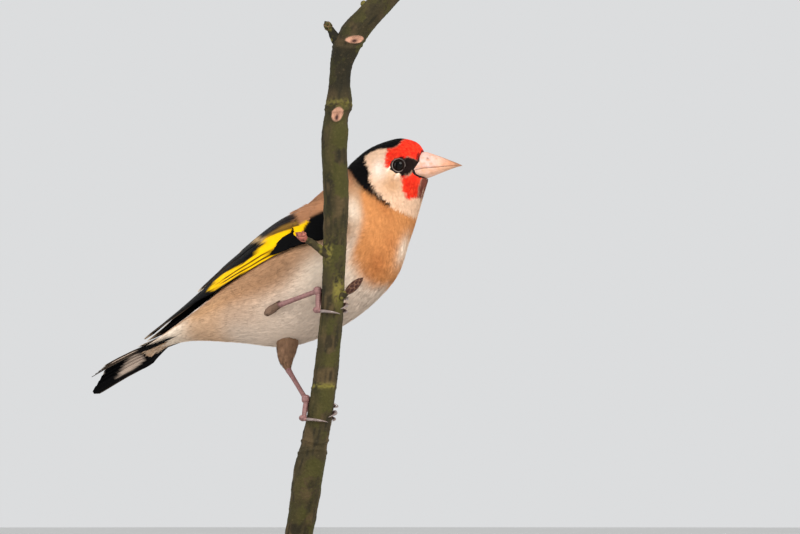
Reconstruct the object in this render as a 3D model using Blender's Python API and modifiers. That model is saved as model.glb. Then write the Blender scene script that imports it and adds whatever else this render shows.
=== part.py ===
# A goldfinch at life size, gripping a cut length of twig with both feet.
# The twig stands on a steel rod and a turned wooden base, as in a museum case.
# Metres and +Z up in the model. The origin is the middle of the base's underside.
# The sizes below are in millimetres, and MM turns them into metres.

import math
import random

import bmesh
import bpy
import numpy as np
from mathutils import Matrix, Vector

MM = 0.001
GAP = 0.3
SEED = 11
# Points closer than this, in metres, are one point.
WELD = 1e-6
SHARP_ANGLE = math.radians(40.0)

# Where the bird's own frame sits: +x to its bill, +y to its left side, +z up through its back.
BIRD_PLACE = (0.0, 8.0, 109.1)
BIRD_YAW = math.radians(-14.0)
BIRD_ROLL = math.radians(-7.0)

# The outline from the tail coverts to the bill, section by section, in the bird's frame:
# back x, back z, belly x, belly z, half width.
BODY_SECTIONS = (
    (-41.5, -19.6, -43.6, -23.0, 4.5),
    (-31.5, -12.2, -33.6, -21.1, 7.8),
    (-19.3, -1.4, -19.2, -21.8, 13.2),
    (-6.8, 10.9, -2.3, -23.1, 16.8),
    (4.8, 21.7, 15.1, -16.0, 17.6),
    (12.4, 28.6, 28.6, -3.8, 15.6),
    (16.1, 33.2, 33.1, 8.7, 11.8),
    (21.4, 37.1, 35.9, 18.5, 9.6),
    (28.5, 39.4, 37.6, 24.6, 8.7),
    (32.2, 39.3, 38.3, 26.4, 7.5),
    (35.3, 38.1, 38.1, 27.0, 5.7),
    (37.1, 35.9, 37.5, 27.4, 3.9),
)
RUMP_END = 1.35
NECK_START = 5.1
HEAD_START = 6.45
FACE_END = 11.0
BODY_SIDES = 28
# The cuts between body pieces are measured along the shorter side and opened by this share more.
CUT_SHARE = 1.24

# The head leans back upright from the body's roll, about a line at this height.
HEAD_LEAN = math.radians(9.0)
HEAD_AXIS_Z = 31.5
LEAN_START = 5.0
LEAN_SPAN = 2.5

# Eyes, lids and nostrils, in the head's own frame.
EYE_CENTRE = (31.3, 7.0, 30.9)
EYE_OUTWARD = (0.22, 0.97)
EYE_RADIUS = 2.2
LID_RADIUS = 2.5
LID_THICKNESS = 0.41
LID_OFFSET = 1.5
NOSTRIL = (39.6, 1.7, 33.5)
NOSTRIL_RADIUS = 0.42

# Bill: along x, the height of its ridge, of the line of the mouth and of its lower edge,
# and its half width.
BILL_SECTIONS = (
    (37.9, 35.3, 30.1, 27.4, 3.7),
    (39.6, 34.7, 30.2, 27.8, 3.15),
    (42.2, 33.8, 30.4, 28.7, 2.3),
    (45.3, 32.5, 30.7, 29.8, 1.35),
    (47.6, 31.6, 30.85, 30.5, 0.65),
    (48.9, 31.1, 30.9, 30.7, 0.22),
)
BILL_SIDES = 7

# Folded wing: its lower and upper edge from the wrist to the tip, as x, distance out, z.
WING_LOWER = (
    (17.8, 16.6, 8.0),
    (11.5, 17.4, 5.9),
    (4.8, 17.2, 4.6),
    (-3.0, 16.4, 1.7),
    (-11.1, 14.6, -2.4),
    (-18.0, 12.0, -6.0),
    (-24.5, 9.6, -9.5),
    (-30.0, 7.6, -12.6),
    (-36.0, 6.0, -16.1),
    (-42.0, 4.8, -19.3),
    (-47.6, 3.9, -21.9),
)
WING_UPPER = (
    (16.4, 15.2, 13.8),
    (10.6, 15.2, 15.2),
    (3.9, 13.0, 14.6),
    (-2.9, 9.0, 12.9),
    (-9.0, 5.4, 10.1),
    (-15.0, 2.4, 6.4),
    (-21.5, 1.0, 1.4),
    (-28.0, 0.8, -4.7),
    (-34.5, 0.8, -10.8),
    (-41.0, 0.8, -16.2),
    (-47.0, 0.8, -20.8),
)
WING_BULGE = 1.6
WING_FLATTEN = 0.6
WING_CLEAR = 0.45
# The feathers' lower border across the wing's sheet, from the wrist to the tip.
WING_BORDER = (
    (0.0, 0.02),
    (0.20, 0.0),
    (0.40, -0.03),
    (0.53, -0.12),
    (0.60, -0.08),
    (0.66, 0.02),
    (0.72, 0.12),
    (0.86, 0.22),
    (0.94, 0.32),
    (1.0, 0.50),
)

# A feather: its thickness, then its width at the root and at the tip as shares of the full width,
# the shares of its length where it reaches full width and where its tip begins to round off,
# and how much thinner its tip is.
VANE = 0.5
VANE_ROOT = 0.55
VANE_END = 0.16
VANE_FULL_AT = 0.3
VANE_TIP_AT = 0.8
VANE_THINNER = 0.35
VANE_THIN_AT = 0.7

# Rows of wing feathers: how many, then for the first and the last of the row the root's and the
# tip's place along the wing (0 wrist, 1 tip) and across it (0 lower edge, 1 upper edge),
# width, height over the body, how far the lower edge is lifted over its neighbour, and steps.
LONG = (0.0, 0.25, 0.5, 0.75, 0.92, 1.0)
SHORT = (0.0, 0.45, 0.84, 1.0)
WING_ROWS = {
    "primaries": (5, (0.20, 0.10, 1.00, 0.24), (0.20, 0.36, 0.76, 0.56), 2.9, 0.52, 0.30, LONG),
    "secondaries": (4, (0.20, 0.36, 0.70, 0.62), (0.20, 0.64, 0.62, 0.76), 3.6, 0.8, 0.30, LONG),
    "tertials": (3, (0.19, 0.66, 0.72, 0.82), (0.18, 0.84, 0.52, 0.90), 5.0, 1.1, 0.35, LONG),
    "primary_coverts": (3, (0.10, 0.13, 0.32, 0.10), (0.11, 0.29, 0.30, 0.24), 2.8, 1.0, 0.30, SHORT),
    "greater_coverts": (5, (0.09, 0.28, 0.25, 0.30), (0.08, 0.84, 0.24, 0.90), 3.8, 1.35, 0.35, SHORT),
    "small_coverts": (4, (0.02, 0.22, 0.165, 0.24), (0.02, 0.78, 0.15, 0.84), 4.4, 1.7, 0.35, SHORT),
}
TIP_DRAW = 0.006
WIDTH_DRAW = 0.06
# The slab that they root in: its start and end along the wing, its rise and its edges' height,
# its margin from the wing's edges, and its counts of points along and across.
SHOULDER = (0.0, 0.25)
SHOULDER_RISE = 1.3
SHOULDER_EDGE = 0.38
SHOULDER_MARGIN = 0.08
SHOULDER_ALONG = 9
SHOULDER_ACROSS = 6

# Tail: the ridge line's x and z from the root to the notch, then the feathers' own sizes.
TAIL_RIDGE = ((-41.9, -20.5), (-46.9, -22.5), (-51.4, -24.6), (-55.5, -26.8), (-59.8, -29.4), (-65.0, -32.7))
TAIL_YAW = math.radians(12.5)
TAIL_STEPS = (0.0, 0.45, 0.8, 0.93, 1.0)
TAIL_TWIST = math.radians(13.0)
TAIL_TWIST_RUN = 8.0
TAIL_ROOF = math.radians(20.0)
TAIL_ROOF_RUN = 6.0
TAIL_FAN = 0.8
TAIL_PAIRS = 6
TAIL_LENGTH = (19.6, 25.6)
TAIL_SKEW = 1.1
TAIL_SPREAD = (0.9, 5.5)
TAIL_ROOT_SPREAD = (0.5, 4.5)
TAIL_WIDTH = 3.6
TAIL_STEP = 0.3
TAIL_TILT = 0.18
# The wedge that they root in: half width, depth under and height over the ridge, its fit to the
# rump's end, its sides, where it starts and ends along the ridge, and where the feathers root.
TAIL_ROOT_SIZE = (5.2, 2.2, 1.3)
TAIL_ROOT_FIT = 0.92
TAIL_ROOT_SIDES = 12
TAIL_ROOT_GAP = 1.2 * GAP
TAIL_ROOT_SPAN = (0.9, 8.4)
TAIL_ROOT_SINK = 0.4
TAIL_ROOT_RUN = 3.8
# Coverts under and over the tail: how many, where they root along it, length, spread and height.
COVERTS = {
    "under": (5, 4.2, 5.0, 3.4, -1.5),
    "over": (4, 2.8, 5.8, 3.0, 0.9),
}
COVERT_WIDTH = 2.6
COVERT_TILT = 0.15
COVERT_FALL = 0.25

# Twig: x, y, z and radius of its axis from the sawn foot to the broken top.
TWIG = (
    (0.0, -0.3, 21.5, 4.2),
    (0.0, -0.6, 25.0, 4.15),
    (0.2, -2.0, 30.3, 4.15),
    (1.7, -3.7, 38.8, 4.3),
    (3.0, -5.6, 48.3, 4.5),
    (4.2, -6.7, 53.5, 4.2),
    (5.0, -7.6, 57.9, 3.9),
    (7.2, -10.0, 69.6, 3.7),
    (9.0, -13.0, 84.1, 3.55),
    (10.3, -16.0, 98.6, 3.35),
    (10.9, -19.0, 113.1, 3.45),
    (11.4, -22.0, 127.5, 3.75),
    (10.9, -25.0, 141.8, 3.75),
    (11.1, -26.0, 146.4, 4.0),
    (11.5, -26.9, 150.9, 3.5),
    (12.3, -27.9, 155.5, 3.85),
    (12.5, -28.9, 160.3, 3.2),
    (13.0, -30.1, 166.0, 3.3),
    (14.3, -31.0, 170.6, 3.9),
    (16.6, -31.9, 175.0, 3.9),
    (20.2, -32.9, 179.2, 3.7),
    (24.6, -33.8, 183.6, 3.5),
    (27.6, -34.5, 186.8, 3.4),
)
TWIG_POINTS = 44
TWIG_SMOOTH = 3
# A level cut across the leaning twig is this much wider than the twig.
TWIG_LEAN = 1.02
# Side twigs and buds: path points and radii.
SPUR_PATH = ((8.8, -20.0, 112.2), (6.2, -20.8, 113.6), (3.6, -21.4, 115.4), (1.4, -21.6, 116.8))
SPUR_RADII = (1.5, 1.15, 1.25, 0.7)
BUD_PATH = ((12.9, -17.6, 101.9), (14.9, -18.3, 102.7), (17.3, -19.1, 104.2), (19.4, -19.7, 105.5))
BUD_RADII = (0.9, 1.15, 1.2, 0.35)
STUB_PATH = ((12.0, -31.0, 173.0), (10.2, -31.6, 175.6), (9.2, -31.8, 177.6))
STUB_RADII = (1.9, 1.5, 0.9)

# Legs, in the model's frame. Each has its thigh's path and radii, its ankle, the height of the
# foot on the twig and the angle round the twig where the foot sits (180 is the bird's own side).
LEGS = {
    "right": {
        "thigh": ((-9.5, -4.5, 95.4), (-8.0, -7.0, 96.3), (-6.2, -9.2, 97.3)),
        "thigh_radii": (2.6, 1.9, 1.0),
        "foot_z": 101.3,
        "foot_angle": 172.0,
    },
    "left": {
        "thigh": ((-3.2, 4.2, 90.5), (-3.8, 2.6, 84.8), (-3.9, 2.0, 81.8), (-3.3, 1.5, 79.0)),
        "thigh_radii": (3.8, 3.1, 2.3, 1.05),
        "foot_z": 69.9,
        "foot_angle": 172.0,
    },
}
TARSUS_RADII = (0.95, 0.72, 0.68, 0.85)
PAD_RADIUS = 1.2
PAD_CLEAR = 1.05
ANKLE_STEP = 0.55
TOE_RADIUS = 0.62
JOINT_SWELL = 0.14
TWIG_GRIP = 3.6
CLAW_RADII = (0.46, 0.36, 0.12)
CLAW_CLEAR = 0.1
CLAW_GAP = 1.15 * GAP
# Toes: height change from the foot, end angle of the toe, end angle of its claw, the claw's drop,
# how many points the toe has and over what share of it the height changes.
TOES = {
    "inner": (-1.9, 28.0, -24.0, -0.8, 7, 0.6),
    "middle": (-3.9, 14.0, -50.0, -1.6, 7, 0.6),
    "outer": (-5.6, 30.0, -16.0, -1.0, 7, 0.6),
    "hind": (-6.0, 222.0, 306.0, -0.9, 6, 0.9),
}

# Stand: a turned base and a steel rod with a flange.
BASE_RADIUS = 42.0
BASE_HEIGHT = 9.0
BASE_EDGE = 1.6
BASE_STEP = 2.4
ROD_RADIUS = 1.6
FLANGE_RADIUS = 6.0
FLANGE_HEIGHT = 1.6
CUP_RADIUS = 3.2
CUP_HEIGHT = 1.4
TURN_BEVEL = 0.6
TURN_STEPS = 36

COLOURS = {
    "brown": (0.42, 0.26, 0.15),
    "cream": (0.72, 0.62, 0.50),
    "black": (0.02, 0.02, 0.025),
    "red": (0.55, 0.03, 0.02),
    "horn": (0.78, 0.62, 0.52),
    "skin": (0.45, 0.27, 0.24),
    "claw": (0.16, 0.12, 0.11),
    "eye": (0.01, 0.008, 0.006),
    "bark": (0.16, 0.13, 0.06),
    "wood": (0.11, 0.05, 0.025),
    "steel": (0.60, 0.60, 0.61),
}


def clear_scene():
    for old in list(bpy.data.objects):
        bpy.data.objects.remove(old)


def make_collection(name):
    collection = bpy.data.collections.new(name)
    bpy.context.scene.collection.children.link(collection)
    return collection


def make_material(name, roughness=0.6, metallic=0.0):
    material = bpy.data.materials.new(name)
    material.use_nodes = True
    shader = material.node_tree.nodes["Principled BSDF"]
    shader.inputs["Base Color"].default_value = (*COLOURS[name], 1.0)
    shader.inputs["Roughness"].default_value = roughness
    shader.inputs["Metallic"].default_value = metallic
    return material


def make_bird_frame(collection):
    """The empty that carries the bird: it turns towards the viewer and rolls a little away."""
    frame = bpy.data.objects.new("bird_frame", None)
    turn = Matrix.Rotation(BIRD_YAW, 4, "Z") @ Matrix.Rotation(BIRD_ROLL, 4, "X")
    frame.matrix_world = Matrix.Translation(Vector(BIRD_PLACE) * MM) @ turn
    collection.objects.link(frame)
    bpy.context.view_layer.update()
    return frame


def mesh_object(name, points, faces, parent=None):
    """A mesh object from points in millimetres."""
    mesh = bpy.data.meshes.new(name)
    mesh.from_pydata([tuple(float(c) * MM for c in p) for p in points], [], faces)
    mesh.update()
    body = bpy.data.objects.new(name, mesh)
    bpy.context.scene.collection.objects.link(body)
    body.parent = parent
    return body


def ring_loft(name, rings, parent=None):
    """A closed tube through rings of equal point counts, with flat ends."""
    count = len(rings[0])
    points = [p for ring in rings for p in ring]
    faces = []
    for k in range(len(rings) - 1):
        for i in range(count):
            j = (i + 1) % count
            faces.append((k * count + i, k * count + j, (k + 1) * count + j, (k + 1) * count + i))
    faces.append(tuple(range(count))[::-1])
    faces.append(tuple((len(rings) - 1) * count + i for i in range(count)))
    body = mesh_object(name, points, faces, parent)
    face_outward(body.data)
    return body


def face_outward(mesh):
    work = bmesh.new()
    work.from_mesh(mesh)
    bmesh.ops.recalc_face_normals(work, faces=work.faces)
    work.to_mesh(mesh)
    work.free()


def curve_tube(name, path, radii, resolution=1, parent=None):
    """A tube with filled caps along a path, made a mesh with its caps welded."""
    curve = bpy.data.curves.new(name, "CURVE")
    curve.dimensions = "3D"
    curve.bevel_depth = MM
    curve.bevel_resolution = resolution
    curve.use_fill_caps = True
    spline = curve.splines.new("POLY")
    spline.points.add(len(path) - 1)
    for point, place, radius in zip(spline.points, path, radii):
        point.co = (*(float(c) * MM for c in place), 1.0)
        point.radius = float(radius)
    guide = bpy.data.objects.new(name + "_guide", curve)
    bpy.context.scene.collection.objects.link(guide)
    guide.parent = parent
    bpy.context.view_layer.update()
    mesh = bpy.data.meshes.new_from_object(guide.evaluated_get(bpy.context.evaluated_depsgraph_get()))
    bpy.data.objects.remove(guide)
    work = bmesh.new()
    work.from_mesh(mesh)
    bmesh.ops.remove_doubles(work, verts=work.verts, dist=WELD)
    bmesh.ops.recalc_face_normals(work, faces=work.faces)
    work.to_mesh(mesh)
    work.free()
    body = bpy.data.objects.new(name, mesh)
    bpy.context.scene.collection.objects.link(body)
    body.parent = parent
    return body


def apply_modifiers(body):
    """Bakes the object's modifiers into its mesh."""
    bpy.context.view_layer.update()
    mesh = bpy.data.meshes.new_from_object(body.evaluated_get(bpy.context.evaluated_depsgraph_get()))
    body.modifiers.clear()
    body.data = mesh


def keep_largest(body):
    """Keeps only the mesh's largest closed surface."""
    work = bmesh.new()
    work.from_mesh(body.data)
    left = set(work.verts)
    groups = []
    while left:
        stack = [left.pop()]
        group = set(stack)
        while stack:
            for edge in stack.pop().link_edges:
                for vert in edge.verts:
                    if vert in left:
                        left.discard(vert)
                        group.add(vert)
                        stack.append(vert)
        groups.append(group)
    groups.sort(key=len)
    loose = [vert for group in groups[:-1] for vert in group]
    bmesh.ops.delete(work, geom=loose, context="VERTS")
    work.to_mesh(body.data)
    work.free()


def boolean(body, operation, others, solver="EXACT"):
    """One Boolean of the body with a collection of closed meshes, which are then removed."""
    tools = bpy.data.collections.new("tools")
    for other in others:
        tools.objects.link(other)
    step = body.modifiers.new(operation.title(), "BOOLEAN")
    step.operation = operation
    step.operand_type = "COLLECTION"
    step.collection = tools
    step.solver = solver
    apply_modifiers(body)
    for other in others:
        bpy.data.objects.remove(other)
    bpy.data.collections.remove(tools)
    keep_largest(body)
    return body


def finish(body, material):
    """Gives the piece its material and shading and puts it with the model."""
    body.data.materials.clear()
    body.data.materials.append(material)
    body.data.shade_smooth()
    body.data.set_sharp_from_angle(angle=SHARP_ANGLE)
    for collection in list(body.users_collection):
        collection.objects.unlink(body)
    bpy.data.collections["european_goldfinch"].objects.link(body)
    return body


def spline_at(rows, t):
    """The smooth curve through equally spaced rows of numbers, at t = 0, 1, 2 and so on."""
    rows = np.asarray(rows, dtype=float)
    rows = np.vstack([2 * rows[0] - rows[1], rows, 2 * rows[-1] - rows[-2]])
    i = int(np.clip(math.floor(t), 0, len(rows) - 4))
    f = t - i
    a, b, c, d = rows[i:i + 4]
    return 0.5 * (2 * b + (c - a) * f + (2 * a - 5 * b + 4 * c - d) * f**2 + (3 * b - a - 3 * c + d) * f**3)


def radius_at(radii, t):
    return float(spline_at([(radius,) for radius in radii], t)[0])


def lean_head(point, t):
    """Turns a point of the neck or head about the bird's long axis."""
    share = min(max((t - LEAN_START) / LEAN_SPAN, 0.0), 1.0)
    angle = HEAD_LEAN * share * share * (3.0 - 2.0 * share)
    x, y, z = point
    rise = z - HEAD_AXIS_Z
    return (
        x,
        y * math.cos(angle) - rise * math.sin(angle),
        HEAD_AXIS_Z + rise * math.cos(angle) + y * math.sin(angle),
    )


def head_point(point):
    return lean_head(point, FACE_END)


def section(t):
    """Centre x and z, up direction x and z, half height and half width of the body's section t."""
    back_x, back_z, belly_x, belly_z, width = spline_at(BODY_SECTIONS, t)
    half = math.hypot(back_x - belly_x, back_z - belly_z) / 2
    centre = ((back_x + belly_x) / 2, (back_z + belly_z) / 2)
    up = ((back_x - belly_x) / (2 * half), (back_z - belly_z) / (2 * half))
    return centre, up, half, width


def body_ring(t, lift=0.0):
    """The points round section t, lifted off the body's surface."""
    centre, up, half, width = section(t)
    ring = []
    for i in range(BODY_SIDES):
        angle = 2 * math.pi * i / BODY_SIDES
        high = (half + lift) * math.cos(angle)
        side = (width + lift) * math.sin(angle)
        ring.append(lean_head((centre[0] + up[0] * high, -side, centre[1] + up[1] * high), t))
    return ring


def half_gap(t):
    """Half of the gap between two pieces cut at section t, as a step of t."""
    probe = 0.05
    ahead = spline_at(BODY_SECTIONS, t + probe)
    behind = spline_at(BODY_SECTIONS, t - probe)
    back_run = math.hypot(ahead[0] - behind[0], ahead[1] - behind[1])
    belly_run = math.hypot(ahead[2] - behind[2], ahead[3] - behind[3])
    return probe * CUT_SHARE * GAP / min(back_run, belly_run)


def body_length(name, start, end, rings, parent, lift=0.0):
    """The part of the body between two sections, as a closed loft."""
    steps = [start + (end - start) * k / (rings - 1) for k in range(rings)]
    return ring_loft(name, [body_ring(t, lift) for t in steps], parent)


class BodySurface:
    """Finds where a point lies in the body's sections, to keep the wings clear of it."""

    def __init__(self):
        self.steps = np.linspace(0.0, NECK_START + 0.8, 240)
        rows = np.array([spline_at(BODY_SECTIONS, t) for t in self.steps])
        self.back = rows[:, 0:2]
        self.belly = rows[:, 2:4]

    def push_out(self, point, clear):
        """The point, moved straight out of the section it lies in if it is nearer than clear."""
        x, y, z = point
        chord = self.back - self.belly
        turn = chord[:, 0] * (z - self.belly[:, 1]) - chord[:, 1] * (x - self.belly[:, 0])
        change = np.nonzero(np.sign(turn[:-1]) != np.sign(turn[1:]))[0]
        if len(change) == 0:
            return point
        k = int(change[0])
        share = turn[k] / (turn[k] - turn[k + 1])
        centre, up, half, width = section(float(self.steps[k] + share * (self.steps[k + 1] - self.steps[k])))
        high = (x - centre[0]) * up[0] + (z - centre[1]) * up[1]
        reach = math.hypot(high / (half + clear), y / (width + clear))
        if reach >= 1.0 or reach < 1e-6:
            return point
        high = high / reach
        return (centre[0] + up[0] * high, y / reach, centre[1] + up[1] * high)


class WingSheet:
    """The sheet that a folded wing's feathers lie on. side is -1 on the right and 1 on the left."""

    def __init__(self, side, body):
        self.side = side
        self.body = body
        self.last = len(WING_LOWER) - 1

    def edges(self, u):
        lower = spline_at(WING_LOWER, u * self.last)
        upper = spline_at(WING_UPPER, u * self.last)
        return lower, upper

    def border(self, u):
        """The feathers' lower border at u, across the sheet."""
        last = WING_BORDER[-1]
        for (start, first), (end, last_value) in zip(WING_BORDER, WING_BORDER[1:]):
            if u <= end:
                return first + (last_value - first) * max(u - start, 0.0) / (end - start)
        return last[1]

    def chord(self, u):
        lower, upper = self.edges(u)
        return float(np.linalg.norm(upper - lower)) * (1.0 - self.border(u))

    def plain(self, u, v):
        lower, upper = self.edges(u)
        across = upper - lower
        out = np.array([0.0, across[2], -across[1]])
        out = out / max(float(np.linalg.norm(out)), 1e-9)
        bulge = WING_BULGE * 4.0 * v * (1.0 - v) * (1.0 - WING_FLATTEN * u)
        return lower + across * v + out * bulge

    def place(self, u, v, height):
        """The point at (u, v), at a height over the sheet and at least that far off the body."""
        edge = self.border(u)
        v = edge + (1.0 - edge) * v
        here = self.plain(u, v)
        along = self.plain(min(u + 0.01, 1.0), v) - self.plain(max(u - 0.01, 0.0), v)
        across = self.plain(u, v + 0.02) - self.plain(u, v - 0.02)
        normal = np.cross(along, across)
        normal = normal / max(float(np.linalg.norm(normal)), 1e-9)
        point = self.body.push_out(tuple(here + normal * height), WING_CLEAR + height)
        return (point[0], point[1] * self.side, point[2])

    def strip(self, root, tip, width, height, tilt):
        """A feather's chart: a function of the share along it and of which edge."""
        def at(share, edge, lift):
            u = root[0] + (tip[0] - root[0]) * share
            v = root[1] + (tip[1] - root[1]) * share
            half = 0.5 * width * vane_shape(share)
            raised = height + lift + (tilt if edge < 0 else 0.0)
            return self.place(u, v + edge * half / self.chord(u), raised)
        return at


class TailSheet:
    """The roof-shaped sheet that the tail feathers lie on, twisted a little round its ridge."""

    def ridge(self, run):
        """The ridge's point and direction at a distance along it."""
        left = run
        for a, b in zip(TAIL_RIDGE, TAIL_RIDGE[1:]):
            size = math.hypot(b[0] - a[0], b[1] - a[1])
            way = ((b[0] - a[0]) / size, (b[1] - a[1]) / size)
            if left <= size or b is TAIL_RIDGE[-1]:
                return (a[0] + way[0] * left, a[1] + way[1] * left), way
            left -= size

    def place(self, run, across, height):
        """The point at a distance along, across (left is +) and over the sheet."""
        (x, z), way = self.ridge(run)
        side = across * math.cos(TAIL_ROOF)
        rise = height - abs(across) * math.sin(TAIL_ROOF) * min(run / TAIL_ROOF_RUN, 1.0)
        twist = TAIL_TWIST * min(max(run / TAIL_TWIST_RUN, 0.0), 1.0)
        turned_side = side * math.cos(twist) + rise * math.sin(twist)
        turned_rise = rise * math.cos(twist) - side * math.sin(twist)
        x += way[1] * turned_rise
        z -= way[0] * turned_rise
        back = x - TAIL_RIDGE[0][0]
        y = turned_side * math.cos(TAIL_YAW) + back * math.sin(TAIL_YAW)
        x = TAIL_RIDGE[0][0] + back * math.cos(TAIL_YAW) - turned_side * math.sin(TAIL_YAW)
        return (x, y, z)

    def strip(self, root, tip, width, height, tilt):
        def at(share, edge, lift):
            run = root[0] + (tip[0] - root[0]) * share
            across = root[1] + (tip[1] - root[1]) * share**TAIL_FAN
            half = 0.5 * width * vane_shape(share)
            outward = 1.0 if tip[1] > 0 else -1.0
            raised = height + lift + (0.0 if edge * outward > 0 else tilt)
            return self.place(run, across + edge * half, raised)
        return at


def vane_shape(share):
    """A feather's width along it: narrow at the root, full in the middle, round at the tip."""
    root = VANE_ROOT + (1.0 - VANE_ROOT) * min(share / VANE_FULL_AT, 1.0)
    past = max(share - VANE_TIP_AT, 0.0) / (1.0 - VANE_TIP_AT)
    return root * (VANE_END + (1.0 - VANE_END) * math.sqrt(max(1.0 - past**2.4, 0.0)))


def vane(name, at, parent, steps):
    """One feather: a thin closed strip, split into triangles alike on both faces."""
    points = []
    for share in steps:
        depth = VANE * (1.0 - VANE_THINNER * max(share - VANE_THIN_AT, 0.0) / (1.0 - VANE_THIN_AT))
        points.append(at(share, -1, 0.0))
        points.append(at(share, 1, 0.0))
        points.append(at(share, 1, -depth))
        points.append(at(share, -1, -depth))
    faces = []
    for k in range(len(steps) - 1):
        a = 4 * k
        b = a + 4
        faces += [(a, a + 1, b + 1), (a, b + 1, b)]
        faces += [(a + 3, b + 2, a + 2), (a + 3, b + 3, b + 2)]
        faces += [(a + 1, a + 2, b + 2), (a + 1, b + 2, b + 1)]
        faces += [(a, b + 3, a + 3), (a, b, b + 3)]
    end = 4 * (len(steps) - 1)
    faces += [(0, 3, 2), (0, 2, 1), (end, end + 1, end + 2), (end, end + 2, end + 3)]
    body = mesh_object(name, points, faces, parent)
    face_outward(body.data)
    return body


def blend(first, last, share):
    return tuple(a + (b - a) * share for a, b in zip(first, last))


def wing_shoulder(sheet, parent):
    """The rounded slab under the coverts that every wing feather roots in."""
    start, end = SHOULDER
    rings = []
    for k in range(SHOULDER_ALONG):
        share = k / (SHOULDER_ALONG - 1)
        u = start + (end - start) * share
        full = math.sqrt(max(1.0 - (2 * share - 1.0) ** 6, 0.0))
        top = []
        low = []
        for i in range(SHOULDER_ACROSS):
            across = i / (SHOULDER_ACROSS - 1)
            v = SHOULDER_MARGIN + (1.0 - 2 * SHOULDER_MARGIN) * across
            crown = math.sqrt(max(1.0 - (0.95 * (2 * across - 1.0)) ** 2, 0.0))
            top.append(sheet.place(u, v, SHOULDER_EDGE + SHOULDER_RISE * crown * full))
            low.append(sheet.place(u, v, 0.0))
        rings.append(top + low[::-1])
    return ring_loft("shoulder", rings, parent)


def build_wing(name, side, frame, body, material):
    sheet = WingSheet(side, body)
    draw = random.Random(SEED)
    feathers = []
    for row, (count, first, last, width, height, tilt, steps) in WING_ROWS.items():
        for i in range(count):
            share = i / (count - 1)
            place = blend(first, last, share)
            tip_u = place[2] + draw.uniform(-TIP_DRAW, TIP_DRAW)
            wide = width * draw.uniform(1.0 - WIDTH_DRAW, 1.0 + WIDTH_DRAW)
            at = sheet.strip(place[0:2], (tip_u, place[3]), wide, height, tilt)
            feathers.append(vane(f"{row}_{i}", at, frame, steps))
    wing = wing_shoulder(sheet, frame)
    wing.name = name
    return finish(boolean(wing, "UNION", feathers, "MANIFOLD"), material)


def tail_root(sheet, frame):
    """The wedge behind the rump that the tail feathers and their coverts root in."""
    half_wide, deep, high = TAIL_ROOT_SIZE
    centre, up, half, width = section(0.0)
    turns = [2 * math.pi * i / TAIL_ROOT_SIDES for i in range(TAIL_ROOT_SIDES)]
    first = []
    for angle in turns:
        rise = half * TAIL_ROOT_FIT * math.sin(angle)
        x = centre[0] + up[0] * rise - up[1] * TAIL_ROOT_GAP
        z = centre[1] + up[1] * rise + up[0] * TAIL_ROOT_GAP
        first.append((x, width * TAIL_ROOT_FIT * math.cos(angle), z))
    rings = [first]
    start, end = TAIL_ROOT_SPAN
    for share in (0.35, 0.7, 1.0):
        wide = half_wide * (1.0 - 0.2 * share)
        low = deep * (1.0 - 0.75 * share)
        top = high * (1.0 - 0.6 * share)
        ring = []
        for angle in turns:
            rise = math.sin(angle)
            height = rise * (top if rise > 0 else low) - TAIL_ROOT_SINK
            ring.append(sheet.place(start + (end - start) * share, wide * math.cos(angle), height))
        rings.append(ring)
    return ring_loft("tail_wedge", rings, frame)


def build_tail(frame, material):
    sheet = TailSheet()
    feathers = []
    for side in (-1, 1):
        for i in range(TAIL_PAIRS):
            share = i / (TAIL_PAIRS - 1)
            length = TAIL_LENGTH[0] + (TAIL_LENGTH[1] - TAIL_LENGTH[0] + side * TAIL_SKEW) * share**1.4
            tip_across = side * (TAIL_SPREAD[0] + (TAIL_SPREAD[1] - TAIL_SPREAD[0]) * share)
            root_across = side * (TAIL_ROOT_SPREAD[0] + (TAIL_ROOT_SPREAD[1] - TAIL_ROOT_SPREAD[0]) * share)
            height = -TAIL_STEP * (i + (0.33 if side > 0 else 0.0))
            root = (TAIL_ROOT_RUN, root_across)
            at = sheet.strip(root, (length, tip_across), TAIL_WIDTH, height, TAIL_TILT)
            feathers.append(vane(f"rectrix_{side}_{i}", at, frame, TAIL_STEPS))
    for row, (count, root, length, spread, height) in COVERTS.items():
        for i in range(count):
            across = spread * (2 * i / (count - 1) - 1.0)
            reach = length * (1.0 - 0.3 * abs(across) / spread)
            high = height - COVERT_FALL * abs(across)
            tip = (root + reach, across + 0.01)
            at = sheet.strip((root, 0.5 * across), tip, COVERT_WIDTH, high, COVERT_TILT)
            feathers.append(vane(f"{row}_{i}", at, frame, SHORT))
    tail = tail_root(sheet, frame)
    tail.name = "tail"
    return finish(boolean(tail, "UNION", feathers, "MANIFOLD"), material)


def ball(name, centre, radius, frame, segments=16, rings=10):
    bpy.ops.mesh.primitive_uv_sphere_add(segments=segments, ring_count=rings, radius=radius * MM)
    body = bpy.context.object
    body.name = name
    body.data.transform(Matrix.Translation(Vector(centre) * MM))
    body.parent = frame
    return body


def eye_place(side, depth=0.0):
    """The eye's centre on one side, or a point on its line of sight further out."""
    x, out, z = EYE_CENTRE
    return head_point((x + EYE_OUTWARD[0] * depth, side * (out + EYE_OUTWARD[1] * depth), z))


def lid_ring(side, frame):
    bpy.ops.mesh.primitive_torus_add(
        major_radius=LID_RADIUS * MM,
        minor_radius=LID_THICKNESS * MM,
        major_segments=16,
        minor_segments=6,
    )
    body = bpy.context.object
    body.name = "lid"
    out = Vector(eye_place(side, 1.0)) - Vector(eye_place(side))
    place = Vector(eye_place(side, LID_OFFSET)) * MM
    body.data.transform(Matrix.Translation(place) @ out.to_track_quat("Z", "Y").to_matrix().to_4x4())
    body.parent = frame
    return body


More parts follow.
